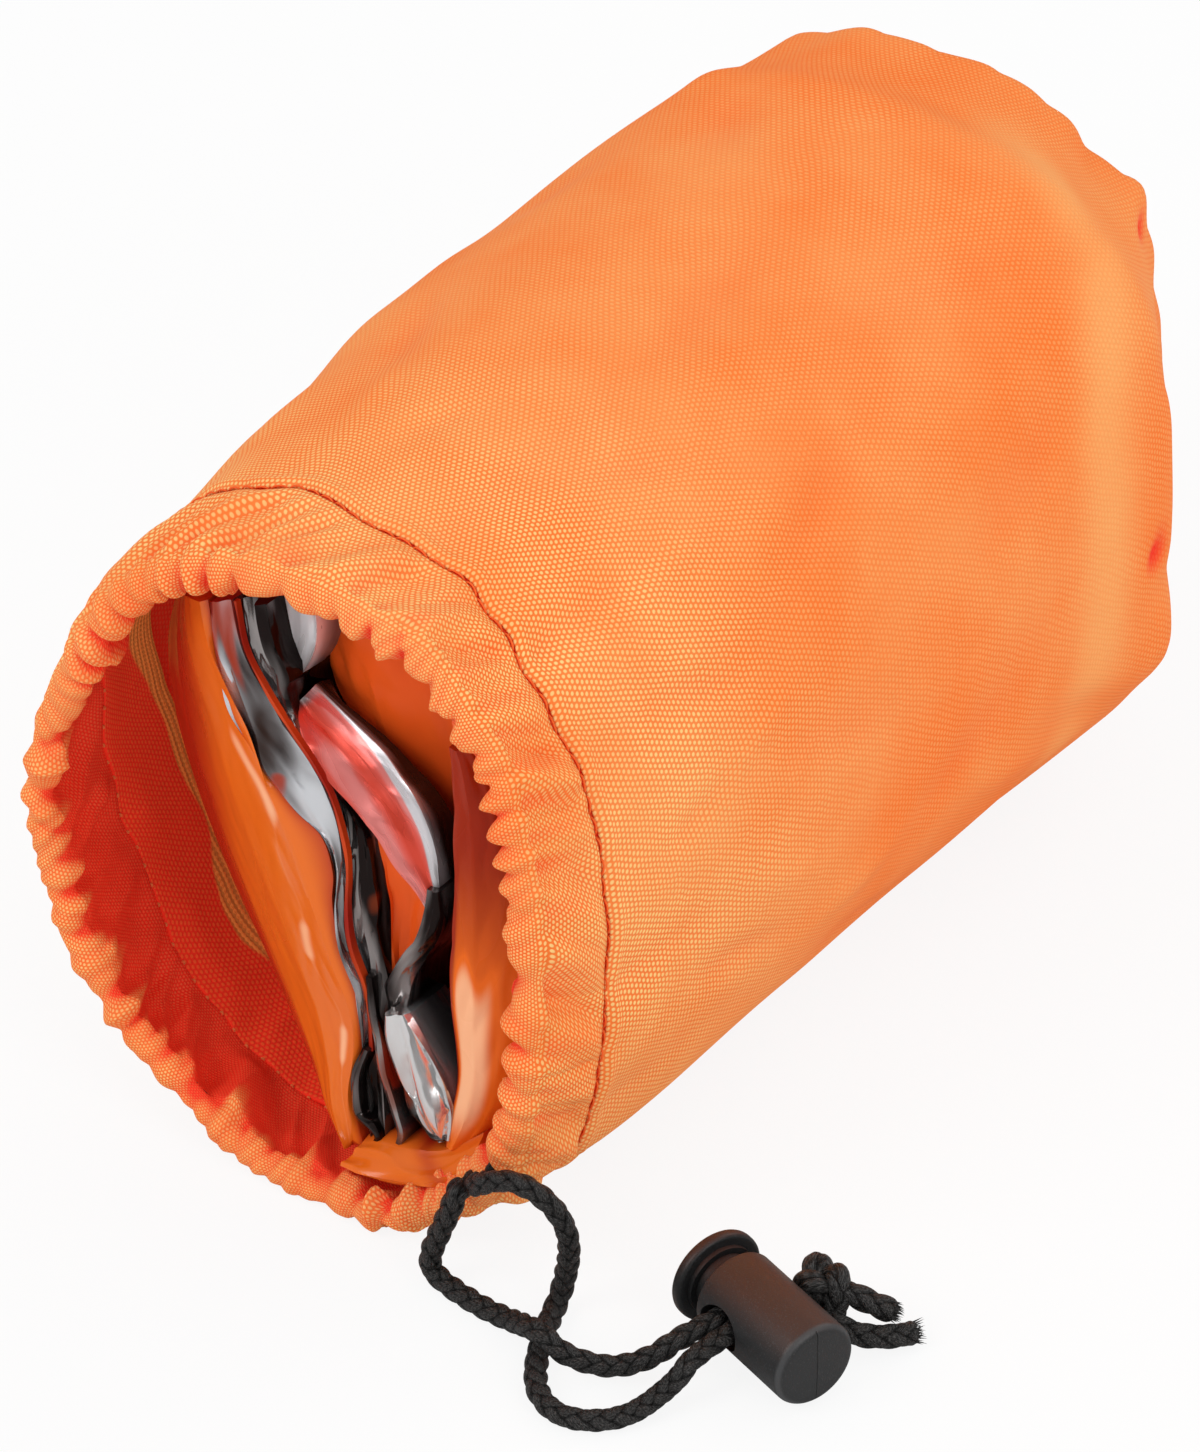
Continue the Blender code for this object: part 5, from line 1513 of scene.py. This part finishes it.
DARK_LEFT = (
    (-12.6, -76, 88.8), (-11.5, -76, 81.7), (-8.8, -76, 75.4), (-4.9, -76, 70.7), (-0.8, -76, 66.2),
    (2.8, -76, 61), (4.0, -76, 55.1), (4.1, -76, 46.3), (4.9, -76, 36), (6.2, -77, 28), (6.8, -78, 20),
    (7.6, -78.5, 12), (8.2, -79, 7.4),
)
DARK_RIGHT = ((-8.4, -76, 89.2), (-7.2, -76, 82.7), (-5.4, -76, 78.8), (-5.8, -76, 75.3), (-4.8, -76, 71.8),
              (-1.0, -76, 67.8), (3.3, -76, 63.4), (6.5, -76, 59.2), (7.6, -76, 52.3), (8.7, -76, 41.5),
              (10, -76.5, 34.5), (10.4, -77, 27), (10.8, -78, 18), (11.4, -79, 8.2))
TOP_LEFT = ((-10.9, -73, 88), (-10.7, -73, 83.9), (-10.3, -73, 80.5), (-9.1, -73, 77.3), (-7.6, -73, 75.2))
TOP_RIGHT = ((-3.0, -73, 90), (-2.6, -73, 86.5), (-3.0, -73, 83), (-4.4, -73, 79.4), (-6.9, -73, 75))
WIDE_UPPER = ((-4.9, -71, 75), (-0.9, -71, 73), (6.4, -72, 70), (10.7, -73, 67.2), (13.9, -74, 65.1),
              (17.4, -75, 60.1), (18.8, -75.5, 50.5))
WIDE_LOWER = ((-5.3, -77, 73.6), (-3.5, -77, 70.7), (1.9, -77, 65.2), (8.4, -77, 60.6), (12, -77, 56.2),
              (15.3, -77, 53.5), (17.6, -77, 50.5))
TWIST_LEFT = ((17.4, -76.6, 54), (17.3, -77, 51), (16.2, -77, 46.9), (13.5, -77, 41.6), (10, -77, 35.2),
              (9.3, -77, 31.8), (10.6, -77.5, 29.0))
TWIST_RIGHT = (
    (19.2, -76, 54), (19.6, -76, 49.8), (17.8, -76, 44.3), (14.4, -76, 38.3), (13.9, -76.5, 33.4),
    (14.0, -77, 30.5), (12.6, -77.5, 28.4),
)
BRIGHT_LEFT = (
    (11.8, -79, 32.3), (12.8, -79.3, 27.7), (14.2, -79.6, 23), (16.4, -79.8, 19.3), (18.6, -79.8, 16.1),
    (20.4, -79.5, 14.0),
)
BRIGHT_RIGHT = (
    (15.2, -78.6, 33), (17.7, -78.6, 29.9), (20.6, -78.8, 25.9), (22.4, -79, 22.1), (23, -79, 19.3),
    (22.3, -79, 15.2),
)
LOOP_A = ((7.3, -79, 24.5), (5.9, -79.3, 20), (5.7, -79.5, 15.9), (6.6, -79.6, 12.4), (8.9, -79.6, 11.5),
          (9.7, -79.6, 9.9), (7.9, -79.6, 8.1))
LOOP_B = ((7.6, -78, 36), (9, -78.5, 27.6), (10.4, -79, 21.3), (12.5, -79.4, 16), (13.6, -79.6, 12.6),
          (12.5, -79.6, 9.6), (10.2, -79.6, 8.4))
LOOP_C = (
    (11.8, -78.4, 33), (13.4, -78.8, 27), (14.5, -79.2, 21.3), (15.6, -79.4, 17.4), (17.4, -79.6, 16.2),
    (19.3, -79.6, 14.2), (21.4, -79.4, 14.4),
)
RIGHT_NEAR = ((22.4, -78, 80), (23, -78, 75.9), (23, -78, 64.4), (22.7, -78, 52.5), (22.1, -78, 37.3),
              (22.7, -78, 26.2), (22.0, -78.6, 18.8), (21.2, -79, 13.4))
RIGHT_FAR = ((27, -76, 81), (30, -75, 74), (32, -74.6, 63), (32.8, -74.6, 52), (32.4, -74.8, 38),
             (31.4, -75, 27), (29.4, -75.6, 20), (25.6, -76.6, 15))
BEHIND_LEFT = ((-12, -66, 86), (-6, -66, 72), (0, -66, 58), (4, -66, 42), (5, -66, 26), (6, -67, 12))
BEHIND_RIGHT = ((21, -67, 84), (25, -67, 72), (26, -67, 56), (26, -67, 42), (25, -67, 28), (22, -68, 14))
PANEL_LEFT = (
    (7.9, -74.5, 57), (8.6, -74.5, 50), (9.2, -74.5, 43), (10.2, -75, 36), (11, -76, 30), (12, -77, 20),
)
PANEL_RIGHT = (
    (16.8, -73.5, 56), (16.6, -73.5, 50), (15.2, -73.5, 44), (12.8, -74, 37.6), (14, -75, 30),
    (17, -77, 18),
)
BOTTOM_BACK = (
    (7.6, -79.5, 8.6), (11, -80, 10.4), (15, -80, 11.4), (19, -80, 12.4), (23, -79, 14.4), (27, -78, 18),
)
BOTTOM_FRONT = (
    (7.0, -84, 7.0), (11, -84.4, 7.4), (15, -84.5, 7.8), (19, -84, 8.8), (23.6, -83, 11), (28.4, -81, 15),
)


def behind(line, y, inset=0.0):
    """A line's own shadow further in, at this distance along the sack, in millimetres."""
    moved = np.array(line, float)
    moved[:, 1] = y
    moved[:, 0] += inset
    return moved


def between(first, second, share, lift, count=24):
    """A line between two others, lifted towards the mouth, in millimetres."""
    line = mix(resampled(first, count), resampled(second, count), share)
    line[:, 1] -= lift
    return line


def ribbon_beside(line, width):
    """The other edge of a narrow ribbon, this far to the right of a line, in millimetres."""
    points = np.array(line, float)
    run = np.gradient(points, axis=0)
    run /= np.linalg.norm(run, axis=1, keepdims=True)
    return points + np.stack([-run[:, 2], 0 * run[:, 0], run[:, 0]], 1) * width


def fold_lines(first, second, back, *inner, far_back=None, inset=0.0):
    """The lines of a fold: from the back, its two edges with (share, lift) lines between, and back again."""
    middle = [between(first, second, *line) for line in inner]
    return [behind(first, back, inset), first, *middle, second, behind(second, far_back or back, -inset)]


def dark_sides(grid, across, along):
    """Painted shade on both sides of a ribbon of film, where it goes back."""
    last = np.max(across)
    return 1 + smooth_step(1.0, 0.4, across) + smooth_step(last - 1.0, last - 0.4, across) + 0 * along


def film_fold(name, lines, material, columns, stations, crumple, seed, slot, *stands_for, hollow=dark_sides):
    """A fold of film over a row of lines: closed around its back, creased and a little crumpled.

    hollow gives its painted shades from its points, the line number across and the share along.
    """
    made = [resampled(np.array(line) * MM, stations) for line in lines]
    rings, shares = [], []
    for number, (a, b) in enumerate(zip(made, made[1:])):
        for step in range(columns[number]):
            rings.append(a + (b - a) * step / columns[number])
            shares.append(number + step / columns[number])
    rings.append(made[-1])
    shares.append(len(made) - 1)
    grid = np.stack(rings, 1)
    visible = np.array([min(1.0, share, len(made) - 1 - share) for share in shares])
    travelled = np.linspace(0, route_length(made[1]), stations)
    width = np.concatenate([[0], np.cumsum(np.linalg.norm(np.diff(grid, axis=1), axis=-1).mean(0))])
    u, v = np.meshgrid(width, travelled)
    soft = noise_at(u * 170, v * 60 + u * 60, seed)
    folds = noise_at(u * 330 + v * 40, v * 95, seed + 20)
    stand = (soft * 1.3 + 0.45 - 1.6 * np.abs(folds)) * crumple * visible[None, :]
    grid = grid + grid_normals(grid) * stand[..., None]
    back = np.linalg.norm(grid[:, 0] - grid[:, -1], axis=-1).mean()
    uv = np.stack(np.meshgrid(np.append(width, width[-1] + back), travelled), -1) + seed * 0.1
    depth = hollow(grid, np.array(shares)[None, :], np.linspace(0, 1, stations)[:, None])
    mesh = skin(name, grid, uv, depth, caps=True)
    tidy_normals(mesh, True)
    smooth_by_angle(add_piece(name, mesh, material, "bivvy", slot, *stands_for), FOLD_ANGLE)


class AddFoldedFilm(bpy.types.Operator):
    """Models the folds of the bivvy bag that show in the mouth, and the bulk behind them"""

    bl_idname = "bivvy_bag.add_folded_film"
    bl_label = "Folded film"

    def execute(self, context):
        # The orange film, with its painted shade colour
        orange = orange_film_finish("orange_film", settings().film, (0.42, 0.012, 0.006))
        self.orange_folds(orange)
        self.silver_ribbons()
        self.bulk(orange)
        return {"FINISHED"}

    def orange_folds(self, orange):
        """The folds with the orange side out: one on each side, one below, and those between the ribbons."""
        # Copies of the orange film for painted shade: shaded is redder and darker for film further in; turned
        # has its own painted shade colour and less gloss
        shaded = orange_film_finish("orange_film_painted_shade", (0.92, 0.115, 0.012), (0.30, 0.010, 0.006), 0.3, 0.12)
        turned = orange_film_finish("orange_film_turned", (0.84, 0.15, 0.012), (0.34, 0.022, 0.004), 0.2, 0.1)
        left = fold_lines(SHEET_OUTER, SHEET_CREASE, -56, (0.3, 1.6), (0.65, 2.0))[:-1]
        left += [SHEET_RIGHT, behind(SHEET_RIGHT, -66, -1.0)]
        film_fold("bivvy_sheet_left", left, orange, (4, 12, 12, 20, 8, 6), 160, 0.00013, 1,
                  "orange_film", "bivvy_fold_left", hollow=self.left_shades)
        edge = np.array(LEFT_FOIL_BACK[:12]) + (0.25, -0.2, 0.1)
        # A narrow edge in painted shade, lighter and darker along it
        film_fold("bivvy_edge_orange", fold_lines(edge, ribbon_beside(edge, 0.6), -76.8), shaded,
                  (3, 3, 3), 80, 0.0002, 3, "orange_film",
                  hollow=lambda grid, across, along: 0.75 + 0.2 * np.sin(along * 20) + 0 * across)
        right = fold_lines(RIGHT_NEAR, RIGHT_FAR, -64, (0.35, 1.4), (0.7, 1.2))
        film_fold("bivvy_sheet_right", right, turned, (8, 10, 10, 8, 4), 110, 0.0003, 13,
                  "orange_film", "bivvy_fold_right", hollow=self.right_shades)
        back = fold_lines(BEHIND_LEFT, BEHIND_RIGHT, -62, (0.3, 1.5), (0.62, -1.0))
        film_fold("bivvy_sheet_behind", back, shaded, (2, 12, 12, 12, 2), 80, 0.0006, 14,
                  "orange_film", hollow=self.behind_shades)
        # Painted shade, darker towards the bottom
        film_fold("bivvy_panel_middle", fold_lines(PANEL_LEFT, PANEL_RIGHT, -64, (0.5, -0.8)), shaded,
                  (2, 8, 8, 2), 70, 0.0006, 15, "orange_film",
                  hollow=lambda grid, across, along: smooth_step(0.058, 0.025, grid[..., 2]) * 0.4)
        bottom = fold_lines(BOTTOM_BACK, BOTTOM_FRONT, -66, (0.55, 0.3))
        bottom[-1] = np.array(BOTTOM_FRONT) + (0, 6, 0.2)
        film_fold("bivvy_sheet_bottom", bottom, orange, (6, 12, 10, 3), 100, 0.0006, 16,
                  "orange_film", "bivvy_fold_bottom", hollow=self.bottom_shades)

    def silver_ribbons(self):
        """The folds that show the silver side, from the widest ribbons to three narrow loops."""
        # Copies of one silver film with different painted reflections: brown is their painted dark; dark is
        # painted darker all over; glowing has a painted orange glow; peak and white are painted brighter
        brown = (0.045, 0.022, 0.016)
        silver = silver_film_finish("silver_film", (0.94, 0.96, 1.0), brown, (0.62, 0.07, 0.03), 0.49, 0.0, 0.9)
        dark = silver_film_finish("silver_film_painted_dark", (0.50, 0.46, 0.45), (0.020, 0.013, 0.012),
                                  (0.30, 0.05, 0.015), 0.57, 0.0)
        glowing = silver_film_finish("silver_film_painted_glow", (0.78, 0.77, 0.80), brown, (0.95, 0.085, 0.045),
                                     0.52, 0.0, 0.95, 0.2, 0.45)
        peak = silver_film_finish("silver_film_peak", (0.95, 0.95, 0.97), (0.32, 0.24, 0.23), (0.85, 0.09, 0.05),
                                  0.36, -0.2, 0.9, 0.25, 0.4)
        white = silver_film_finish("silver_film_painted_bright", (1.0, 1.0, 1.0), (0.20, 0.19, 0.20),
                                   (0.62, 0.20, 0.10), 0.42, -0.2)
        left = fold_lines(LEFT_FOIL_EDGE, LEFT_FOIL_BACK, -66, (0.5, 0.5), inset=0.5)
        film_fold("bivvy_ribbon_left", left, silver, (4, 8, 8, 4), 150, 0.0005, 2,
                  "silver_film", "bivvy_foil_left", hollow=self.ribbon_shades)
        middle = fold_lines(DARK_LEFT, DARK_RIGHT, -66, (0.33, -0.8), (0.6, 0.7))
        film_fold("bivvy_ribbon_middle", middle, dark, (4, 7, 7, 7, 4), 130, 0.0009, 4,
                  "silver_film", "bivvy_foil_middle")
        film_fold("bivvy_peak", fold_lines(TOP_LEFT, TOP_RIGHT, -66, (0.5, -0.8)), peak,
                  (3, 8, 8, 3), 50, 0.0004, 5, "silver_film", hollow=self.peak_shades)
        wide = fold_lines(WIDE_UPPER, WIDE_LOWER, -69.8, (0.4, -0.5), far_back=-67)
        film_fold("bivvy_ribbon_wide", wide, glowing, (3, 14, 14, 4), 110, 0.0004, 6,
                  "silver_film", "bivvy_foil_right", hollow=self.wide_shades)
        film_fold("bivvy_ribbon_twisted", fold_lines(TWIST_LEFT, TWIST_RIGHT, -66, (0.5, 0.6)), dark,
                  (3, 6, 6, 3), 80, 0.0006, 7, "silver_film")
        film_fold("bivvy_ribbon_bright", fold_lines(BRIGHT_LEFT, BRIGHT_RIGHT, -70, (0.5, 0.4)), white,
                  (3, 12, 12, 3), 90, 0.0010, 8, "silver_film")
        for seed, letter, loop in ((9, "a", LOOP_A), (10, "b", LOOP_B), (11, "c", LOOP_C)):
            lines = fold_lines(loop, ribbon_beside(loop, 1.3), -68, (0.5, 0.3))
            film_fold("bivvy_loop_" + letter, lines, dark, (3, 3, 3, 3), 70, 0.0004, seed, "silver_film")

    def left_shades(self, grid, across, along):
        """Painted dark red shade where the sheet turns away into the sack, and a broken painted pale sheen
        beside its crease.
        """
        share = (across - 1) / 3
        start = mix(1.0, 0.33, smooth_step(0, 0.7, along))
        dark = smooth_step(start, mix(0.35, 0.02, along), share) * mix(1.0, 0.8, along)
        patches = smooth_step(0.1, 0.75, np.sin(along * 24 + 1.2 * np.sin(along * 9)))
        line = 0.88 - 0.09 * np.sin(along * 12) * (1 - along) - 0.03 * np.sin(along * 31)
        sheen = np.exp(-((share - line) / mix(0.02, 0.045, patches)) ** 2) * smooth_step(0.1, 0.3, along)
        sheen = sheen * mix(0.35, 1.0, patches)
        return np.where(across > 4.2, smooth_step(4.2, 5.2, across) * 0.8, dark * 0.95 - sheen * 0.85)

    def ribbon_shades(self, grid, across, along):
        """Painted orange reflection in stripes at the top of the left ribbon, and painted shade where it turns
        in.
        """
        stripes = smooth_step(0.16, 0.06, along + 0.05 * np.sin(across * 5))
        return 1 - stripes + smooth_step(-0.0775, -0.072, grid[..., 1])

    def peak_shades(self, grid, across, along):
        """Painted light in the middle and on one side, and painted shade on the other."""
        return dark_sides(grid, across, along) - smooth_step(1.9, 1.2, across) * 0.9

    def wide_shades(self, grid, across, along):
        """Plain silver, without the painted orange reflection, along the ribbon's upper edge and at both of its
        ends, and painted shade on both sides.
        """
        edge = smooth_step(mix(1.15, 1.9, along), mix(1.05, 1.7, along), across)
        bare = np.clip(edge + smooth_step(0.06, 0.0, along) + smooth_step(0.93, 1.0, along), 0, 1)
        return bare + smooth_step(1.0, 0.3, across) + smooth_step(3.0, 3.6, across)

    def right_shades(self, grid, across, along):
        """Painted deep red shade where the fold goes back, and a broad painted sheen low on its front."""
        low = smooth_step(0.50, 0.62, along + 0.04 * np.sin(across * 5)) * smooth_step(1.02, 0.86, along)
        sheen = 0.95 * smooth_step(1.05, 1.35, across) * smooth_step(3.0, 2.2, across) * low
        deep = np.clip(smooth_step(1.25, 1.0, across) + smooth_step(0.66, 0.2, along), 0, 1)
        return deep * (1 - sheen) + smooth_step(1.05, 0.7, across) - sheen

    def behind_shades(self, grid, across, along):
        """Painted shade, darker towards the bottom and at its right-hand edge."""
        edge = smooth_step(0.0195, 0.0225, grid[..., 0]) * smooth_step(0.074, 0.060, grid[..., 2])
        return smooth_step(0.078, 0.045, grid[..., 2]) * 0.9 + edge

    def bottom_shades(self, grid, across, along):
        """Painted deep red shade behind, and one darker painted slanting band."""
        band = smooth_step(0.3, 0.0, np.abs(along - 0.42 - 0.1 * across)) ** 6
        return smooth_step(-0.0815, -0.072, grid[..., 1]) * 1.3 + 0.5 * band

    def bulk(self, orange):
        """The folded layers behind the visible folds, packed into a long soft bundle."""
        half_width, half_height = BULK_HALF
        rows = np.linspace(0, 1, 130)
        y = mix(BULK_FRONT, BULK_BACK, rows)
        size = along_table(((0, 0.93), (0.02, 0.98), (0.25, 0.98), (0.9, 0.88), (0.97, 0.84), (1, 0.74)), rows)
        lean = along_table(((0, 0), (0.12, 0.1), (0.25, 0.3), (0.93, 1), (1, 1)), rows)
        drawn = along_table(((0, 0.0194), (0.02, 0.0194), (0.13, 0.0097), (0.25, 0.0), (1, 0.0)), rows)
        turns = even_turns(260)
        turn = turns[None, :]
        half = half_width * size - drawn / 2
        x, z = oval(half[:, None], (half_height * size)[:, None], SQUARENESS[0], turn)
        across = mix(MOUTH_MIDDLE[0], BASE_MIDDLE[0], lean) + drawn / 2
        grid = np.stack([across[:, None] + x + MOUTH_BOW * (1 - lean)[:, None] * (z / half_height) ** 2,
                         y[:, None] + 0 * x, MOUTH_MIDDLE[1] + z], -1)
        sway = 1.5 * np.sin(grid[..., 2] * 60) + 0.8 * np.sin(y[:, None] * 45)
        layers = np.abs(np.sin(grid[..., 0] * 620 + sway))
        side = np.abs(np.sin(turn))
        waves = 1 + np.sin(y[:, None] * 140 + 3 * np.sin(turn * 3))
        pinch = -0.0011 * (1 - layers) * side - 0.0006 * waves * 0.5
        dents = -0.0008 * np.abs(surface_noise(grid, 70, 4)) - 0.0004 * np.abs(surface_noise(grid, 180, 7))
        grid = grid + outward(grid) * (pinch + dents)[..., None]
        # Painted shade between the folded layers, on the bundle's sides
        hollow = np.clip((1 - layers) ** 3 * side * 0.8, 0, 1)
        mesh = skin("bivvy_bundle", grid, cloth_uv(turns, y), hollow, caps=True)
        tidy_normals(mesh)
        smooth_by_angle(add_piece("bivvy_bundle", mesh, orange, "bivvy", "folded_film", "bivvy_core"), 45)


class AddStage(bpy.types.Operator):
    """Sets the white table, the pale surroundings and the soft lamps"""

    bl_idname = "bivvy_bag.add_stage"
    bl_label = "Stage"

    def execute(self, context):
        deselect_all()
        bpy.ops.mesh.primitive_plane_add(size=8.0, location=(0, 0, 0))
        floor = context.active_object
        floor.name = "floor"
        floor.data.materials.append(table_finish("white_table"))
        world = bpy.data.worlds.new("studio")
        world.use_nodes = True
        context.scene.world = world
        tree = world.node_tree
        light = add_node(tree, "LightPath").outputs
        seen = calculate(tree, "MAXIMUM", light["Is Camera Ray"], light["Is Transmission Ray"])
        up = parts_of(tree, add_node(tree, "TexCoord").outputs["Generated"])[2]
        mirrored = remap(tree, up, 0.0, 0.9, 0.14, 0.5)
        ambient = times(tree, minus(tree, 1.0, light["Is Glossy Ray"]), 0.74)
        ambient = calculate(tree, "MULTIPLY_ADD", light["Is Glossy Ray"], mirrored, ambient)
        strength = calculate(tree, "MAXIMUM", seen, ambient)
        fill(tree, tree.nodes["Background"], Color=(1, 1, 1), Strength=strength)
        power = settings().lamp_power
        for name, place, size, share in (("key", (-0.45, -0.95, 0.95), 0.6, 1.0),
                                         ("fill", (0.95, -0.35, 0.55), 0.5, 0.5),
                                         ("back", (0.3, 0.9, 0.8), 0.6, 0.4)):
            lamp = bpy.data.lights.new(name, "AREA")
            lamp.shape = "SQUARE"
            lamp.size = size
            lamp.energy = power * share
            aimed(name, lamp, place, Vector((0.0, -0.01, 0.05)) - Vector(place))
        context.scene.view_settings.view_transform = "Standard"
        return {"FINISHED"}


class BivvyBagPanel(bpy.types.Panel):
    """Lists the pieces of the bag in the sidebar"""

    bl_idname = "VIEW3D_PT_bivvy_bag"
    bl_label = "Bivvy bag"
    bl_space_type = "VIEW_3D"
    bl_region_type = "UI"
    bl_category = "Bivvy bag"

    def draw(self, context):
        own = context.scene.bivvy_bag
        for name in own.bl_rna.properties.keys():
            if name not in {"rna_type", "name"}:
                self.layout.prop(own, name)
        for operator in OPERATORS:
            self.layout.operator(operator.bl_idname)


OPERATORS = (SetCamera, AddCordLock, AddDrawcord, AddSackCloth, AddGatheredHem, AddFoldedFilm, AddStage)
CLASSES = (BivvyBagSettings, *OPERATORS, BivvyBagPanel)


def register():
    for item in CLASSES:
        bpy.utils.register_class(item)
    bpy.types.Scene.bivvy_bag = PointerProperty(type=BivvyBagSettings)


def unregister():
    del bpy.types.Scene.bivvy_bag
    for item in reversed(CLASSES):
        bpy.utils.unregister_class(item)


def main():
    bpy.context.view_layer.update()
    register()
    bpy.ops.bivvy_bag.set_camera()
    bpy.ops.bivvy_bag.add_cord_lock()
    bpy.ops.bivvy_bag.add_drawcord()
    bpy.ops.bivvy_bag.add_sack_cloth()
    bpy.ops.bivvy_bag.add_gathered_hem()
    bpy.ops.bivvy_bag.add_folded_film()
    bpy.ops.bivvy_bag.add_stage()


if __name__ == "__main__":
    main()
